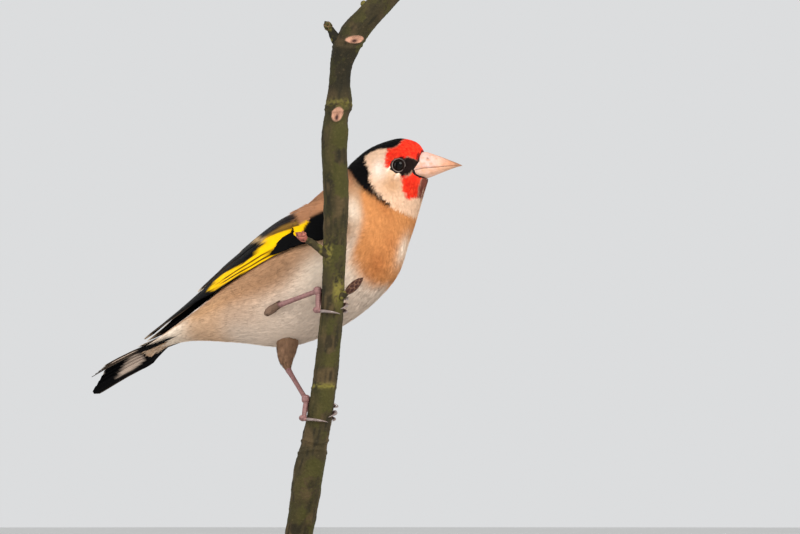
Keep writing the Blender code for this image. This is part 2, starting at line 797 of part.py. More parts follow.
def build_head(frame, material):
    head = body_length("head", HEAD_START + half_gap(HEAD_START), FACE_END, 15, frame)
    boolean(head, "UNION", [lid_ring(side, frame) for side in (-1, 1)])
    sockets = [ball("socket", eye_place(side), EYE_RADIUS + GAP, frame) for side in (-1, 1)]
    boolean(head, "DIFFERENCE", sockets)
    return finish(head, material)


def build_eyes(frame, material):
    for name, side in (("eye_right", -1), ("eye_left", 1)):
        finish(ball(name, eye_place(side), EYE_RADIUS, frame), material)


def bill_half(name, upper, frame):
    """One mandible: half-round sections with a flat side at the line of the mouth."""
    rings = []
    for x, ridge_z, mouth_z, lower_z, width in BILL_SECTIONS:
        flat_z = mouth_z + (GAP / 2 if upper else -GAP / 2)
        far_z = max(ridge_z, flat_z + 0.12) if upper else min(lower_z, flat_z - 0.12)
        wide = width * (1.0 if upper else 0.9)
        ring = []
        for i in range(BILL_SIDES + 1):
            angle = math.pi * i / BILL_SIDES
            ring.append(head_point((x, wide * math.cos(angle), flat_z + (far_z - flat_z) * math.sin(angle))))
        rings.append(ring)
    return ring_loft(name, rings, frame)


def build_bill(frame, material):
    upper = bill_half("bill_upper", True, frame)
    x, out, z = NOSTRIL
    pits = [ball("pit", head_point((x, side * out, z)), NOSTRIL_RADIUS, frame, 8, 6) for side in (-1, 1)]
    finish(boolean(upper, "DIFFERENCE", pits), material)
    finish(bill_half("bill_lower", False, frame), material)


def twig_rows():
    """The twig's axis points and radii, evenly along its smooth curve."""
    last = len(TWIG) - 1
    return [spline_at(TWIG, last * k / (TWIG_POINTS - 1)) for k in range(TWIG_POINTS)]


def on_twig(z, angle, clear):
    """A point beside the twig: at a height, an angle round it (0 is +X, 90 is +Y) and a distance."""
    rows = twig_rows()
    for a, b in zip(rows, rows[1:]):
        if z <= b[2]:
            break
    x, y, _, _ = blend(a, b, (z - a[2]) / (b[2] - a[2]))
    reach = max(a[3], b[3]) * TWIG_LEAN + clear
    return (x + reach * math.cos(angle), y + reach * math.sin(angle), z)


def build_twig(material):
    rows = twig_rows()
    twig = curve_tube("perch_twig", [row[0:3] for row in rows], [row[3] for row in rows], TWIG_SMOOTH)
    sides = [
        curve_tube("spur", SPUR_PATH, SPUR_RADII, 1),
        curve_tube("stub", STUB_PATH, STUB_RADII, 1),
        curve_tube("bud", BUD_PATH, BUD_RADII, 1),
    ]
    return finish(boolean(twig, "UNION", sides), material)


def foot_base(leg):
    return on_twig(leg["foot_z"], math.radians(leg["foot_angle"]), GAP + PAD_CLEAR)


def build_thigh(side, leg, frame, material):
    """The feathered thigh, cut clear of the belly that it comes out of."""
    steps = [k * (len(leg["thigh"]) - 1) / 6 for k in range(7)]
    path = [spline_at(leg["thigh"], step) for step in steps]
    radii = [radius_at(leg["thigh_radii"], step) for step in steps]
    thigh = curve_tube(f"thigh_{side}", path, radii, 3)
    clearance = body_length("clearance", 0.3, NECK_START, 30, frame, 1.2 * GAP)
    boolean(thigh, "DIFFERENCE", [clearance])
    return finish(thigh, material)


def build_tarsus(side, leg, material):
    """The bare shank from the ankle to the foot."""
    ankle = Vector(leg["thigh"][-1])
    thigh_way = (ankle - Vector(leg["thigh"][-2])).normalized()
    base = Vector(foot_base(leg))
    way = (base - ankle).normalized()
    start = ankle + thigh_way * 1.2 * GAP + way * ANKLE_STEP
    end = base - way * (PAD_RADIUS + 1.2 * GAP)
    path = [start, start.lerp(end, 0.25), start.lerp(end, 0.8), end]
    return finish(curve_tube(f"tarsus_{side}", path, TARSUS_RADII, 2), material)


def round_twig(start_angle, end_angle, heights, clear):
    """Points round the twig from one angle to another, each at its own height."""
    path = []
    for k, z in enumerate(heights):
        angle = start_angle + (end_angle - start_angle) * k / (len(heights) - 1)
        path.append(on_twig(z, math.radians(angle), GAP + clear))
    return path


def build_toe(name, leg, toe):
    """One toe, from the foot's pad round the twig, thicker at its joints."""
    rise, end_angle, _, _, count, settle = toe
    radii = [TOE_RADIUS + JOINT_SWELL * math.cos(k * math.pi * 0.9) ** 2 for k in range(count)]
    turns = [min(k / (count - 1) / settle, 1.0) for k in range(count)]
    heights = [leg["foot_z"] + rise * math.sin(0.5 * math.pi * turn) for turn in turns]
    return curve_tube(name, round_twig(leg["foot_angle"], end_angle, heights, max(radii)), radii, 1)


def build_claw(name, leg, toe):
    """The claw that goes on round the twig from a toe's end."""
    rise, end_angle, claw_angle, drop, _, _ = toe
    turn = 1.0 if claw_angle > end_angle else -1.0
    start = end_angle + turn * math.degrees(CLAW_GAP / (TOE_RADIUS + TWIG_GRIP))
    shares = [k / 4 for k in range(5)]
    heights = [leg["foot_z"] + rise + drop * share for share in shares]
    path = round_twig(start, claw_angle, heights, CLAW_RADII[0] + CLAW_CLEAR)
    return curve_tube(name, path, [radius_at(CLAW_RADII, 2 * share) for share in shares], 1)


def build_foot(side, leg, skin, horn):
    """The foot's pad and its four toes round the twig, and a claw beyond each toe."""
    pad = ball(f"foot_{side}", foot_base(leg), PAD_RADIUS, None, 12, 8)
    toes = [build_toe(f"toe_{name}", leg, toe) for name, toe in TOES.items()]
    for name, toe in TOES.items():
        finish(build_claw(f"claw_{side}_{name}", leg, toe), horn)
    return finish(boolean(pad, "UNION", toes), skin)


def turned(name, profile, material):
    """A turned piece from a profile of (radius, height) run down its outer side."""
    mesh = bpy.data.meshes.new(name)
    points = [(radius * MM, 0.0, height * MM) for radius, height in profile]
    mesh.from_pydata(points, [(k, k + 1) for k in range(len(points) - 1)], [])
    body = bpy.data.objects.new(name, mesh)
    bpy.context.scene.collection.objects.link(body)
    screw = body.modifiers.new("Turn", "SCREW")
    screw.steps = TURN_STEPS
    screw.render_steps = TURN_STEPS
    screw.use_merge_vertices = True
    screw.merge_threshold = 0.00001
    return finish(body, material)


def build_stand(wood, steel):
    top = BASE_HEIGHT
    base = [
        (0.0, top),
        (BASE_RADIUS - BASE_STEP - BASE_EDGE, top),
        (BASE_RADIUS - BASE_STEP, top - BASE_EDGE),
        (BASE_RADIUS - BASE_STEP, top - 2 * BASE_EDGE),
        (BASE_RADIUS - TURN_BEVEL, top - 2 * BASE_EDGE - TURN_BEVEL),
        (BASE_RADIUS, top - 3 * BASE_EDGE),
        (BASE_RADIUS, TURN_BEVEL),
        (BASE_RADIUS - TURN_BEVEL, 0.0),
        (0.0, 0.0),
    ]
    turned("stand_base", base, wood)
    foot = top + GAP
    head = TWIG[0][2] - 2.5 * GAP
    rod = [
        (0.0, head),
        (CUP_RADIUS - TURN_BEVEL, head),
        (CUP_RADIUS, head - TURN_BEVEL),
        (CUP_RADIUS, head - CUP_HEIGHT),
        (ROD_RADIUS, head - CUP_HEIGHT - TURN_BEVEL),
        (ROD_RADIUS, foot + FLANGE_HEIGHT + TURN_BEVEL),
        (FLANGE_RADIUS - TURN_BEVEL, foot + FLANGE_HEIGHT),
        (FLANGE_RADIUS, foot + FLANGE_HEIGHT - TURN_BEVEL),
        (FLANGE_RADIUS, foot),
        (0.0, foot),
    ]
    turned("stand_rod", rod, steel)


def build():
    clear_scene()
    model = make_collection("european_goldfinch")
    frame = make_bird_frame(model)
    brown = make_material("brown", 0.8)
    cream = make_material("cream", 0.85)
    black = make_material("black", 0.45)
    red = make_material("red", 0.8)
    horn = make_material("horn", 0.35)
    skin = make_material("skin", 0.5)
    claw = make_material("claw", 0.3)
    eye = make_material("eye", 0.05)
    bark = make_material("bark", 0.9)
    wood = make_material("wood", 0.35)
    steel = make_material("steel", 0.3, 1.0)

    finish(body_length("rump", 0.0, RUMP_END - half_gap(RUMP_END), 6, frame), cream)
    torso_start = RUMP_END + half_gap(RUMP_END)
    finish(body_length("torso", torso_start, NECK_START - half_gap(NECK_START), 16, frame), cream)
    neck_start = NECK_START + half_gap(NECK_START)
    finish(body_length("neck", neck_start, HEAD_START - half_gap(HEAD_START), 6, frame), brown)
    build_head(frame, red)
    build_eyes(frame, eye)
    build_bill(frame, horn)

    surface = BodySurface()
    build_wing("wing_right", -1, frame, surface, black)
    build_wing("wing_left", 1, frame, surface, black)
    build_tail(frame, black)
    build_twig(bark)
    for side, leg in LEGS.items():
        build_thigh(side, leg, frame, brown)
        build_tarsus(side, leg, skin)
        build_foot(side, leg, skin, claw)
    build_stand(wood, steel)


build()
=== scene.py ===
# The looks of a life-size goldfinch that grips a cut length of twig on a display stand.
# The bird's own frame is in millimetres: +x to its bill, +y to its left side, +z up through
# its back. World places are in metres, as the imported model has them.

import math

import bpy
import numpy as np
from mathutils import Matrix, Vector


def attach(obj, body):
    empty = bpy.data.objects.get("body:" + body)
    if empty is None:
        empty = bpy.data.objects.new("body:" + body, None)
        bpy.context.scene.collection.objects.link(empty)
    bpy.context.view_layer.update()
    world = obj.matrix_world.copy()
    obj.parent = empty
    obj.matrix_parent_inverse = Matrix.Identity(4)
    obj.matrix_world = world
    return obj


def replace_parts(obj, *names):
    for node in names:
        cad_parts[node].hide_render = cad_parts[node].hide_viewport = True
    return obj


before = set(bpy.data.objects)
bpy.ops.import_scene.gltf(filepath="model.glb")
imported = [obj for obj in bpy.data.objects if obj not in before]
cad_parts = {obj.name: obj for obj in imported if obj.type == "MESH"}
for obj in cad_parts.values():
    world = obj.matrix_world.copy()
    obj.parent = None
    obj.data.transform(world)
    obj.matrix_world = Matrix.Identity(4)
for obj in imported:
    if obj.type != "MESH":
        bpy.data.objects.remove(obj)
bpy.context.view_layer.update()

MM = 0.001
SEED = 7

# Where the bird stands, and its outline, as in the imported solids.
BIRD_PLACE = (0.0, 8.0, 109.1)
BIRD_YAW = math.radians(-14.0)
BIRD_ROLL = math.radians(-7.0)
# back x, back z, belly x, belly z, half width, from the tail coverts to the bill.
BODY_SECTIONS = (
    (-41.5, -19.6, -43.6, -23.0, 4.5),
    (-31.5, -12.2, -33.6, -21.1, 7.8),
    (-19.3, -1.4, -19.2, -21.8, 13.2),
    (-6.8, 10.9, -2.3, -23.1, 16.8),
    (4.8, 21.7, 15.1, -16.0, 17.6),
    (12.4, 28.6, 28.6, -3.8, 15.6),
    (16.1, 33.2, 33.1, 8.7, 11.8),
    (21.4, 37.1, 35.9, 18.5, 9.6),
    (28.5, 39.4, 37.6, 24.6, 8.7),
    (32.2, 39.3, 38.3, 26.4, 7.5),
    (35.3, 38.1, 38.1, 27.0, 5.7),
    (37.1, 35.9, 37.5, 27.4, 3.9),
)
FACE_END = 11.0
HEAD_LEAN = math.radians(9.0)
HEAD_AXIS_Z = 31.5
LEAN_START = 5.0
LEAN_SPAN = 2.5

EYE_CENTRE = (31.3, 7.0, 30.9)
EYE_OUTWARD = (0.22, 0.97)
EYE_RADIUS = 2.2

NOSTRIL = (39.6, 33.5)

WING_LOWER = (
    (17.8, 16.6, 8.0),
    (11.5, 17.4, 5.9),
    (4.8, 17.2, 4.6),
    (-3.0, 16.4, 1.7),
    (-11.1, 14.6, -2.4),
    (-18.0, 12.0, -6.0),
    (-24.5, 9.6, -9.5),
    (-30.0, 7.6, -12.6),
    (-36.0, 6.0, -16.1),
    (-42.0, 4.8, -19.3),
    (-47.6, 3.9, -21.9),
)
WING_UPPER = (
    (16.4, 15.2, 13.8),
    (10.6, 15.2, 15.2),
    (3.9, 13.0, 14.6),
    (-2.9, 9.0, 12.9),
    (-9.0, 5.4, 10.1),
    (-15.0, 2.4, 6.4),
    (-21.5, 1.0, 1.4),
    (-28.0, 0.8, -4.7),
    (-34.5, 0.8, -10.8),
    (-41.0, 0.8, -16.2),
    (-47.0, 0.8, -20.8),
)
WING_BULGE = 1.6
WING_FLATTEN = 0.6
WING_CLEAR = 0.45
# The feathers' lower border across the wing's sheet, from the wrist to the tip.
WING_BORDER = (
    (0.0, 0.02), (0.20, 0.0), (0.40, -0.03), (0.53, -0.12), (0.60, -0.08), (0.66, 0.02), (0.72, 0.12),
    (0.86, 0.22), (0.94, 0.32), (1.0, 0.50),
)

TAIL_RIDGE = ((-41.9, -20.5), (-46.9, -22.5), (-51.4, -24.6), (-55.5, -26.8), (-59.8, -29.4), (-65.0, -32.7))
TAIL_YAW = math.radians(12.5)
TAIL_TWIST = math.radians(13.0)
TAIL_TWIST_RUN = 8.0
TAIL_ROOF = math.radians(20.0)
TAIL_ROOF_RUN = 6.0
TAIL_FAN = 0.8
TAIL_PAIRS = 6
TAIL_LENGTH = (19.6, 25.6)
TAIL_SKEW = 1.1
TAIL_SPREAD = (0.9, 5.5)
TAIL_ROOT_SPREAD = (0.5, 4.5)
TAIL_WIDTH = 3.6
TAIL_STEP = 0.3
TAIL_ROOT_RUN = 3.8

# Twig: x, y, z and radius of its axis, in the model's frame.
TWIG = (
    (0.0, -0.3, 21.5, 4.2),
    (0.0, -0.6, 25.0, 4.15),
    (0.2, -2.0, 30.3, 4.15),
    (1.7, -3.7, 38.8, 4.3),
    (3.0, -5.6, 48.3, 4.5),
    (4.2, -6.7, 53.5, 4.2),
    (5.0, -7.6, 57.9, 3.9),
    (7.2, -10.0, 69.6, 3.7),
    (9.0, -13.0, 84.1, 3.55),
    (10.3, -16.0, 98.6, 3.35),
    (10.9, -19.0, 113.1, 3.45),
    (11.4, -22.0, 127.5, 3.75),
    (10.9, -25.0, 141.8, 3.75),
    (11.1, -26.0, 146.4, 4.0),
    (11.5, -26.9, 150.9, 3.5),
    (12.3, -27.9, 155.5, 3.85),
    (12.5, -28.9, 160.3, 3.2),
    (13.0, -30.1, 166.0, 3.3),
    (14.3, -31.0, 170.6, 3.9),
    (16.6, -31.9, 175.0, 3.9),
    (20.2, -32.9, 179.2, 3.7),
    (24.6, -33.8, 183.6, 3.5),
    (27.6, -34.5, 186.8, 3.4),
)


def srgb(red, green, blue):
    """A colour given as on a screen, 0 to 255, in linear light."""
    out = []
    for value in (red, green, blue):
        share = value / 255.0
        out.append(share / 12.92 if share <= 0.04045 else ((share + 0.055) / 1.055) ** 2.4)
    return np.array(out)


MANTLE = srgb(168, 119, 86)
FLANK = srgb(174, 134, 101)
FLANK_SHADE_UNDER_WING = srgb(126, 96, 73)
BUFF = srgb(203, 160, 120)
TAN = srgb(196, 132, 80)
DEEP_TAN = srgb(172, 104, 58)
BELLY = srgb(210, 191, 174)
CREAM = srgb(238, 220, 200)
WHITE = srgb(244, 234, 222)
CHEEK = srgb(226, 188, 158)
CHEEK_BUFF = srgb(196, 148, 106)
CHEEK_WHITE = srgb(246, 230, 217)
RED = srgb(226, 34, 26)
RED_BRIGHT = srgb(244, 78, 46)
THROAT_RED_IN_SHADE = srgb(96, 16, 14)
BLACK = srgb(9, 9, 10)
LORES_BLACK = srgb(32, 23, 22)
YELLOW = srgb(238, 186, 8)
VANE_BROWN = srgb(92, 76, 62)
TAIL_WHITE_IN_SHADE = srgb(184, 166, 152)
COVERT_BROWN = srgb(124, 92, 40)
SCAPULAR_SHADOW = srgb(28, 24, 25)
FRINGE = srgb(168, 138, 96)
HORN = srgb(204, 168, 158)
HORN_DARK = srgb(126, 84, 58)
LEG_PINK = srgb(126, 90, 88)
LEG_DARK = srgb(92, 58, 56)
CLAW_HORN = srgb(118, 104, 100)
BARK = srgb(54, 47, 28)
BARK_DARK = srgb(27, 25, 15)
BARK_GREY = srgb(82, 67, 44)
ALGAE = srgb(60, 58, 24)
LICHEN = srgb(118, 110, 50)
SCAR = srgb(176, 132, 110)
BUD = srgb(60, 36, 30)


def ramp(value, start, end):
    """0 before start, 1 past end, and smooth between."""
    share = np.clip((value - start) / (end - start), 0.0, 1.0)
    return share * share * (3.0 - 2.0 * share)


def paint(colours, colour, mask):
    """Mixes a colour, or one for each row, into rows of colours by a mask."""
    return colours + (colour - colours) * np.asarray(mask)[:, None]


def rows_at(rows, t):
    """The smooth curve through equally spaced rows of numbers, for many t, straight past its ends."""
    rows = np.asarray(rows, dtype=float)
    padded = np.vstack([2 * rows[0] - rows[1], rows, 2 * rows[-1] - rows[-2]])
    t = np.atleast_1d(np.asarray(t, dtype=float))
    i = np.clip(np.floor(t).astype(int), 0, len(rows) - 2)
    past = (t - i)[:, None]
    f = np.clip(past, 0.0, 1.0)
    a, b, c, d = padded[i], padded[i + 1], padded[i + 2], padded[i + 3]
    square = 2 * a - 5 * b + 4 * c - d
    cube = 3 * b - a - 3 * c + d
    value = 0.5 * (2 * b + (c - a) * f + square * f**2 + cube * f**3)
    slope = 0.5 * ((c - a) + 2 * square * f + 3 * cube * f**2)
    return value + slope * (past - f)


def unit(rows):
    return rows / np.maximum(np.linalg.norm(rows, axis=1), 1e-9)[:, None]


def to_world(points):
    """Millimetres in the bird's frame to metres in the model's frame."""
    cos_yaw, sin_yaw = math.cos(BIRD_YAW), math.sin(BIRD_YAW)
    cos_roll, sin_roll = math.cos(BIRD_ROLL), math.sin(BIRD_ROLL)
    x, y, z = np.asarray(points, dtype=float).T
    out = y * cos_roll - z * sin_roll
    up = y * sin_roll + z * cos_roll
    world = np.stack([x * cos_yaw - out * sin_yaw, x * sin_yaw + out * cos_yaw, up], 1)
    return (world + np.array(BIRD_PLACE)) * MM


def section(t):
    """Centre, up direction, half height and half width of the body's sections t."""
    rows = rows_at(BODY_SECTIONS, t)
    back = rows[:, 0:2]
    belly = rows[:, 2:4]
    half = np.maximum(np.linalg.norm(back - belly, axis=1) / 2, 0.2)
    return (back + belly) / 2, (back - belly) / (2 * half[:, None]), half, np.maximum(rows[:, 4], 0.2)


def lean(points, t):
    """Turns points of the neck and head about the bird's long axis."""
    share = np.clip((t - LEAN_START) / LEAN_SPAN, 0.0, 1.0)
    angle = HEAD_LEAN * share * share * (3.0 - 2.0 * share)
    y = points[:, 1]
    rise = points[:, 2] - HEAD_AXIS_Z
    turned = points.copy()
    turned[:, 1] = y * np.cos(angle) - rise * np.sin(angle)
    turned[:, 2] = HEAD_AXIS_Z + rise * np.cos(angle) + y * np.sin(angle)
    return turned


def lean_head(points):
    points = np.atleast_2d(np.asarray(points, dtype=float))
    return lean(points, np.full(len(points), FACE_END))


def upright_body(t, angle, lift):
    """A point of the body before its head leans. The angle goes from the back over the right side."""
    centre, up, half, width = section(t)
    across = np.sin(angle) / width
    high = np.cos(angle) / half
    size = np.hypot(across, high)
    rise = half * np.cos(angle) + lift * high / size
    side = width * np.sin(angle) + lift * across / size
    return np.stack([centre[:, 0] + up[:, 0] * rise, -side, centre[:, 1] + up[:, 1] * rise], 1)


def inside(x, z, outline, soft):
    """How far points of the side view lie inside an outline, as a mask with a soft edge."""
    corners = np.asarray(outline, dtype=float)
    nearest = np.full(x.shape, 1e9)
    within = np.zeros(x.shape, dtype=bool)
    for (ax, az), (bx, bz) in zip(corners, np.roll(corners, -1, axis=0)):
        run = (bx - ax) ** 2 + (bz - az) ** 2
        share = np.clip(((x - ax) * (bx - ax) + (z - az) * (bz - az)) / run, 0.0, 1.0)
        nearest = np.minimum(nearest, np.hypot(x - ax - share * (bx - ax), z - az - share * (bz - az)))
        crosses = (az > z) != (bz > z)
        at_x = ax + (z - az) * (bx - ax) / (bz - az if bz != az else 1e-9)
        within ^= crosses & (x < at_x)
    return ramp(np.where(within, nearest, -nearest), -soft, soft)


# Marks of the head in side view: x and z in the bird's frame, running on past the head's edge.
RED_FACE = (
    (27.3, 30.0), (27.4, 34.0), (27.2, 36.1), (28.8, 35.9), (30.5, 36.8), (31.4, 38.2), (32.8, 44.0), (42.0, 44.0),
    (42.0, 33.8), (37.1, 33.7), (36.6, 32.5), (35.5, 32.9), (34.1, 33.4), (33.3, 32.8), (32.2, 32.6), (30.6, 32.7),
    (29.6, 32.2), (29.0, 31.4), (28.4, 30.3),
)
CROWN = (
    (31.4, 38.2), (30.5, 36.8), (28.7, 35.9), (25.8, 36.1), (23.8, 35.9), (22.3, 35.1), (20.8, 34.1),
    (20.7, 32.3), (21.4, 31.0), (22.2, 29.6), (22.9, 28.0), (22.9, 26.2), (23.7, 24.3), (24.7, 22.4),
    (25.9, 21.2), (27.1, 19.8), (29.4, 17.8), (29.0, 17.2), (27.8, 18.0), (25.7, 19.4), (24.0, 20.5),
    (22.2, 21.7), (20.0, 23.5), (18.4, 25.5), (16.7, 27.7), (13.0, 30.5), (9.0, 33.0), (10.0, 44.0), (32.8, 44.0),
)
CHEEK_AREA = (
    (20.0, 33.0), (22.5, 27.0), (25.0, 21.0), (29.1, 17.7), (30.8, 16.5), (33.2, 15.7), (34.8, 14.9), (42.0, 14.2),
    (42.0, 44.0), (20.0, 44.0),
)
LORES = (
    (28.4, 30.3), (29.0, 31.4), (29.6, 32.2), (30.6, 32.7), (32.2, 32.6), (33.3, 32.8), (34.1, 33.4), (35.5, 32.9),
    (36.6, 32.5), (37.1, 33.9), (40.0, 34.2), (40.0, 26.3), (37.0, 26.3), (36.6, 26.8), (35.9, 27.7), (34.9, 27.7),
    (32.9, 27.1), (32.1, 27.3), (31.3, 27.8), (30.4, 28.7), (29.2, 29.4),
)
UNDER_EYE = (
    (27.6, 29.7), (28.5, 30.1), (29.2, 29.2), (30.4, 28.4), (31.3, 27.5), (31.6, 26.9), (30.7, 27.1), (29.2, 27.9),
    (27.7, 28.9),
)
RED_THROAT = (
    (32.2, 27.0), (32.5, 25.5), (32.5, 23.4), (33.1, 21.6), (33.7, 20.5), (34.6, 20.6), (35.5, 20.7), (36.1, 20.9),
    (36.5, 23.7), (36.8, 25.8), (36.7, 26.7), (35.9, 27.6), (34.9, 27.6), (33.5, 27.0),
)
CHIN = ((36.7, 27.2), (36.8, 25.8), (36.5, 23.7), (36.1, 20.9), (40.0, 20.5), (40.0, 27.6))
# Where the bill's bare base shows at the side of the face.
BILL_BASE = (
    (37.0, 35.6), (37.7, 34.0), (37.2, 32.4), (36.5, 31.2), (35.6, 29.8), (35.9, 28.4), (37.2, 27.2), (45.0, 26.0),
    (45.0, 36.0),
)
# Marks of the wing: u from wrist to tip and v over the wing's sheet.
WING_YELLOW = (
    (0.163, 0.58), (0.150, 0.47), (0.168, 0.39), (0.177, 0.29), (0.188, 0.19), (0.208, 0.20), (0.215, 0.15),
    (0.245, 0.20), (0.283, 0.19), (0.305, 0.14), (0.310, 0.07), (0.295, -0.03), (0.315, -0.06), (0.348, -0.04),
    (0.395, -0.02), (0.450, 0.02), (0.495, 0.02), (0.555, 0.06), (0.588, 0.10), (0.600, 0.13), (0.640, 0.29),
    (0.615, 0.35), (0.603, 0.47), (0.573, 0.46), (0.530, 0.38), (0.482, 0.30), (0.427, 0.21), (0.415, 0.26),
    (0.385, 0.29), (0.370, 0.40), (0.357, 0.38), (0.372, 0.55), (0.355, 0.56), (0.300, 0.49), (0.247, 0.44),
    (0.198, 0.43),
)
WING_LINE = ((0.310, 0.05), (0.350, 0.04), (0.405, 0.05), (0.460, 0.08), (0.508, 0.10), (0.560, 0.14))
WING_FRINGE = ((0.460, 0.84), (0.435, 0.93), (0.372, 0.62), (0.358, 0.42), (0.385, 0.55))
WING_BROWN = (
    (0.360, 0.61), (0.307, 0.68), (0.253, 0.64), (0.215, 0.65), (0.193, 0.49), (0.212, 0.45), (0.247, 0.46),
    (0.300, 0.51), (0.350, 0.56),
)
# Painted shadow: a cast shadow painted dark grey over the brown scapulars above the yellow band.
WING_SCAPULAR_SHADOW = (
    (0.238, 1.0), (0.210, 0.65), (0.215, 0.60), (0.247, 0.62), (0.288, 0.63), (0.318, 0.60), (0.343, 0.60),
    (0.362, 0.72), (0.328, 0.87), (0.283, 0.94),
)
WING_MANTLE = (
    (0.233, 0.97), (0.203, 0.64), (0.190, 0.46), (0.160, 0.57), (0.140, 0.61), (0.110, 0.68), (0.088, 0.76),
    (0.060, 0.78), (-0.20, 0.80), (-0.20, 1.50), (0.300, 1.50), (0.290, 1.00),
)


# The tan of the breast: section t and degrees from the back.
BREAST = (
    (6.9, 50), (5.9, 62), (5.62, 76), (5.40, 88), (5.12, 97), (4.86, 106), (4.62, 113), (4.44, 121), (4.51, 132),
    (4.59, 146), (4.69, 161), (4.83, 175), (4.9, 190), (7.0, 190), (7.2, 120),
)


def patch(t, side, at, size):
    """A soft round patch on the body, centred at a section and an angle from the back in degrees."""
    return np.exp(-(((t - at[0]) / size[0]) ** 2) - ((side - at[1]) / size[1]) ** 2)


def plumage(t, angle):
    """The colour of the coat and of the skin under it, at sections t and angles from the back."""
    side = np.degrees(np.arccos(np.clip(np.cos(angle), -1.0, 1.0)))
    flat = upright_body(t, angle, np.zeros_like(t))
    x, z = flat[:, 0], flat[:, 2]
    across = side / 30.0
    colours = np.tile(MANTLE, (len(t), 1))
    colours = paint(colours, FLANK, ramp(side, 50, 72))
    colours = paint(colours, BELLY, ramp(side, 88, 116))
    # Painted shade: a darker brown along the flank just under the wing's lower edge.
    colours = paint(colours, FLANK_SHADE_UNDER_WING, patch(t, side, (3.2, 88), (0.7, 14)) * 0.6)
    colours = paint(colours, FLANK, patch(t, side, (2.2, 112), (0.7, 24)) * 0.55)
    colours = paint(colours, CREAM, patch(t, side, (3.9, 108), (0.4, 16)) * 0.9)
    colours = paint(colours, BUFF, ramp(t, 2.2, 1.6) * ramp(side, 60, 84) * 0.7)
    colours = paint(colours, CREAM, ramp(t, 1.3, 0.6) * ramp(side, 66, 90))
    colours = paint(colours, WHITE, ramp(t, 1.7, 1.2) * ramp(side, 70, 46) * 0.9)
    colours = paint(colours, BUFF, ramp(t, 2.4, 1.9) * ramp(t, 1.3, 1.7) * ramp(side, 66, 40) * 0.7)
    colours = paint(colours, TAN, inside(t * 3.0, across * 3.0, [(u * 3.0, w / 10.0) for u, w in BREAST], 0.35))
    colours = paint(colours, DEEP_TAN, patch(t, side, (4.95, 142), (0.26, 15)) * 0.75)
    colours = paint(colours, DEEP_TAN, patch(t, side, (5.55, 142), (0.26, 14)) * 0.45)
    colours = paint(colours, DEEP_TAN, patch(t, side, (6.05, 108), (0.16, 22)) * 0.6)
    colours = paint(colours, CREAM, patch(t, side, (4.38, 124), (0.16, 16)) * 0.9)
    colours = paint(colours, CREAM, patch(t, side, (5.70, 172), (0.34, 13)) * 0.9)
    colours = paint(colours, CREAM, patch(t, side, (5.02, 83), (0.24, 13)) * 0.95)
    return head_marks(colours, x, z)


def head_marks(colours, x, z):
    """The head's markings, by place in its side view."""
    colours = paint(colours, CHEEK, inside(x, z, CHEEK_AREA, 0.5))
    buff_cheek = np.exp(-(((x - 29.6) / 2.9) ** 2) - ((z - 24.6) / 3.0) ** 2)
    colours = paint(colours, CHEEK_BUFF, buff_cheek * 0.8)
    white_cheek = np.exp(-(((x - 25.6) / 2.0) ** 2) - ((z - 29.4) / 3.0) ** 2)
    colours = paint(colours, CHEEK_WHITE, white_cheek * 0.9)
    colours = paint(colours, CHEEK_WHITE, inside(x, z, UNDER_EYE, 0.25) * 0.6)
    colours = paint(colours, BLACK, inside(x, z, CROWN, 0.3))
    colours = paint(colours, RED, inside(x, z, RED_FACE, 0.3))
    colours = paint(colours, RED, inside(x, z, RED_THROAT, 0.3))
    # The throat's front is red in painted shade; the black near the bill is the chin's own colour.
    colours = paint(colours, THROAT_RED_IN_SHADE, inside(x, z, CHIN, 0.4) * 0.9)
    colours = paint(colours, LORES_BLACK, inside(x, z, CHIN, 0.4) * ramp(z, 25.4, 27.0))
    bristles = ((36.3, 32.3), (36.4, 34.4), (36.9, 36.0), (38.5, 36.4), (38.5, 32.0))
    colours = paint(colours, LORES_BLACK, inside(x, z, bristles, 0.35) * 0.85)
    ring = np.hypot(x - EYE_CENTRE[0], z - EYE_CENTRE[2])
    colours = paint(colours, LORES_BLACK, ramp(ring, 2.95, 2.6) * ramp(z - x, 2.4, 0.6))
    return paint(colours, LORES_BLACK, inside(x, z, LORES, 0.3))


class BodySurface:
    """The body: p is the section t, q is the angle from the back over the right side."""

    way = -1.0

    def point(self, p, q, lift):
        return lean(upright_body(p, q, lift), p)


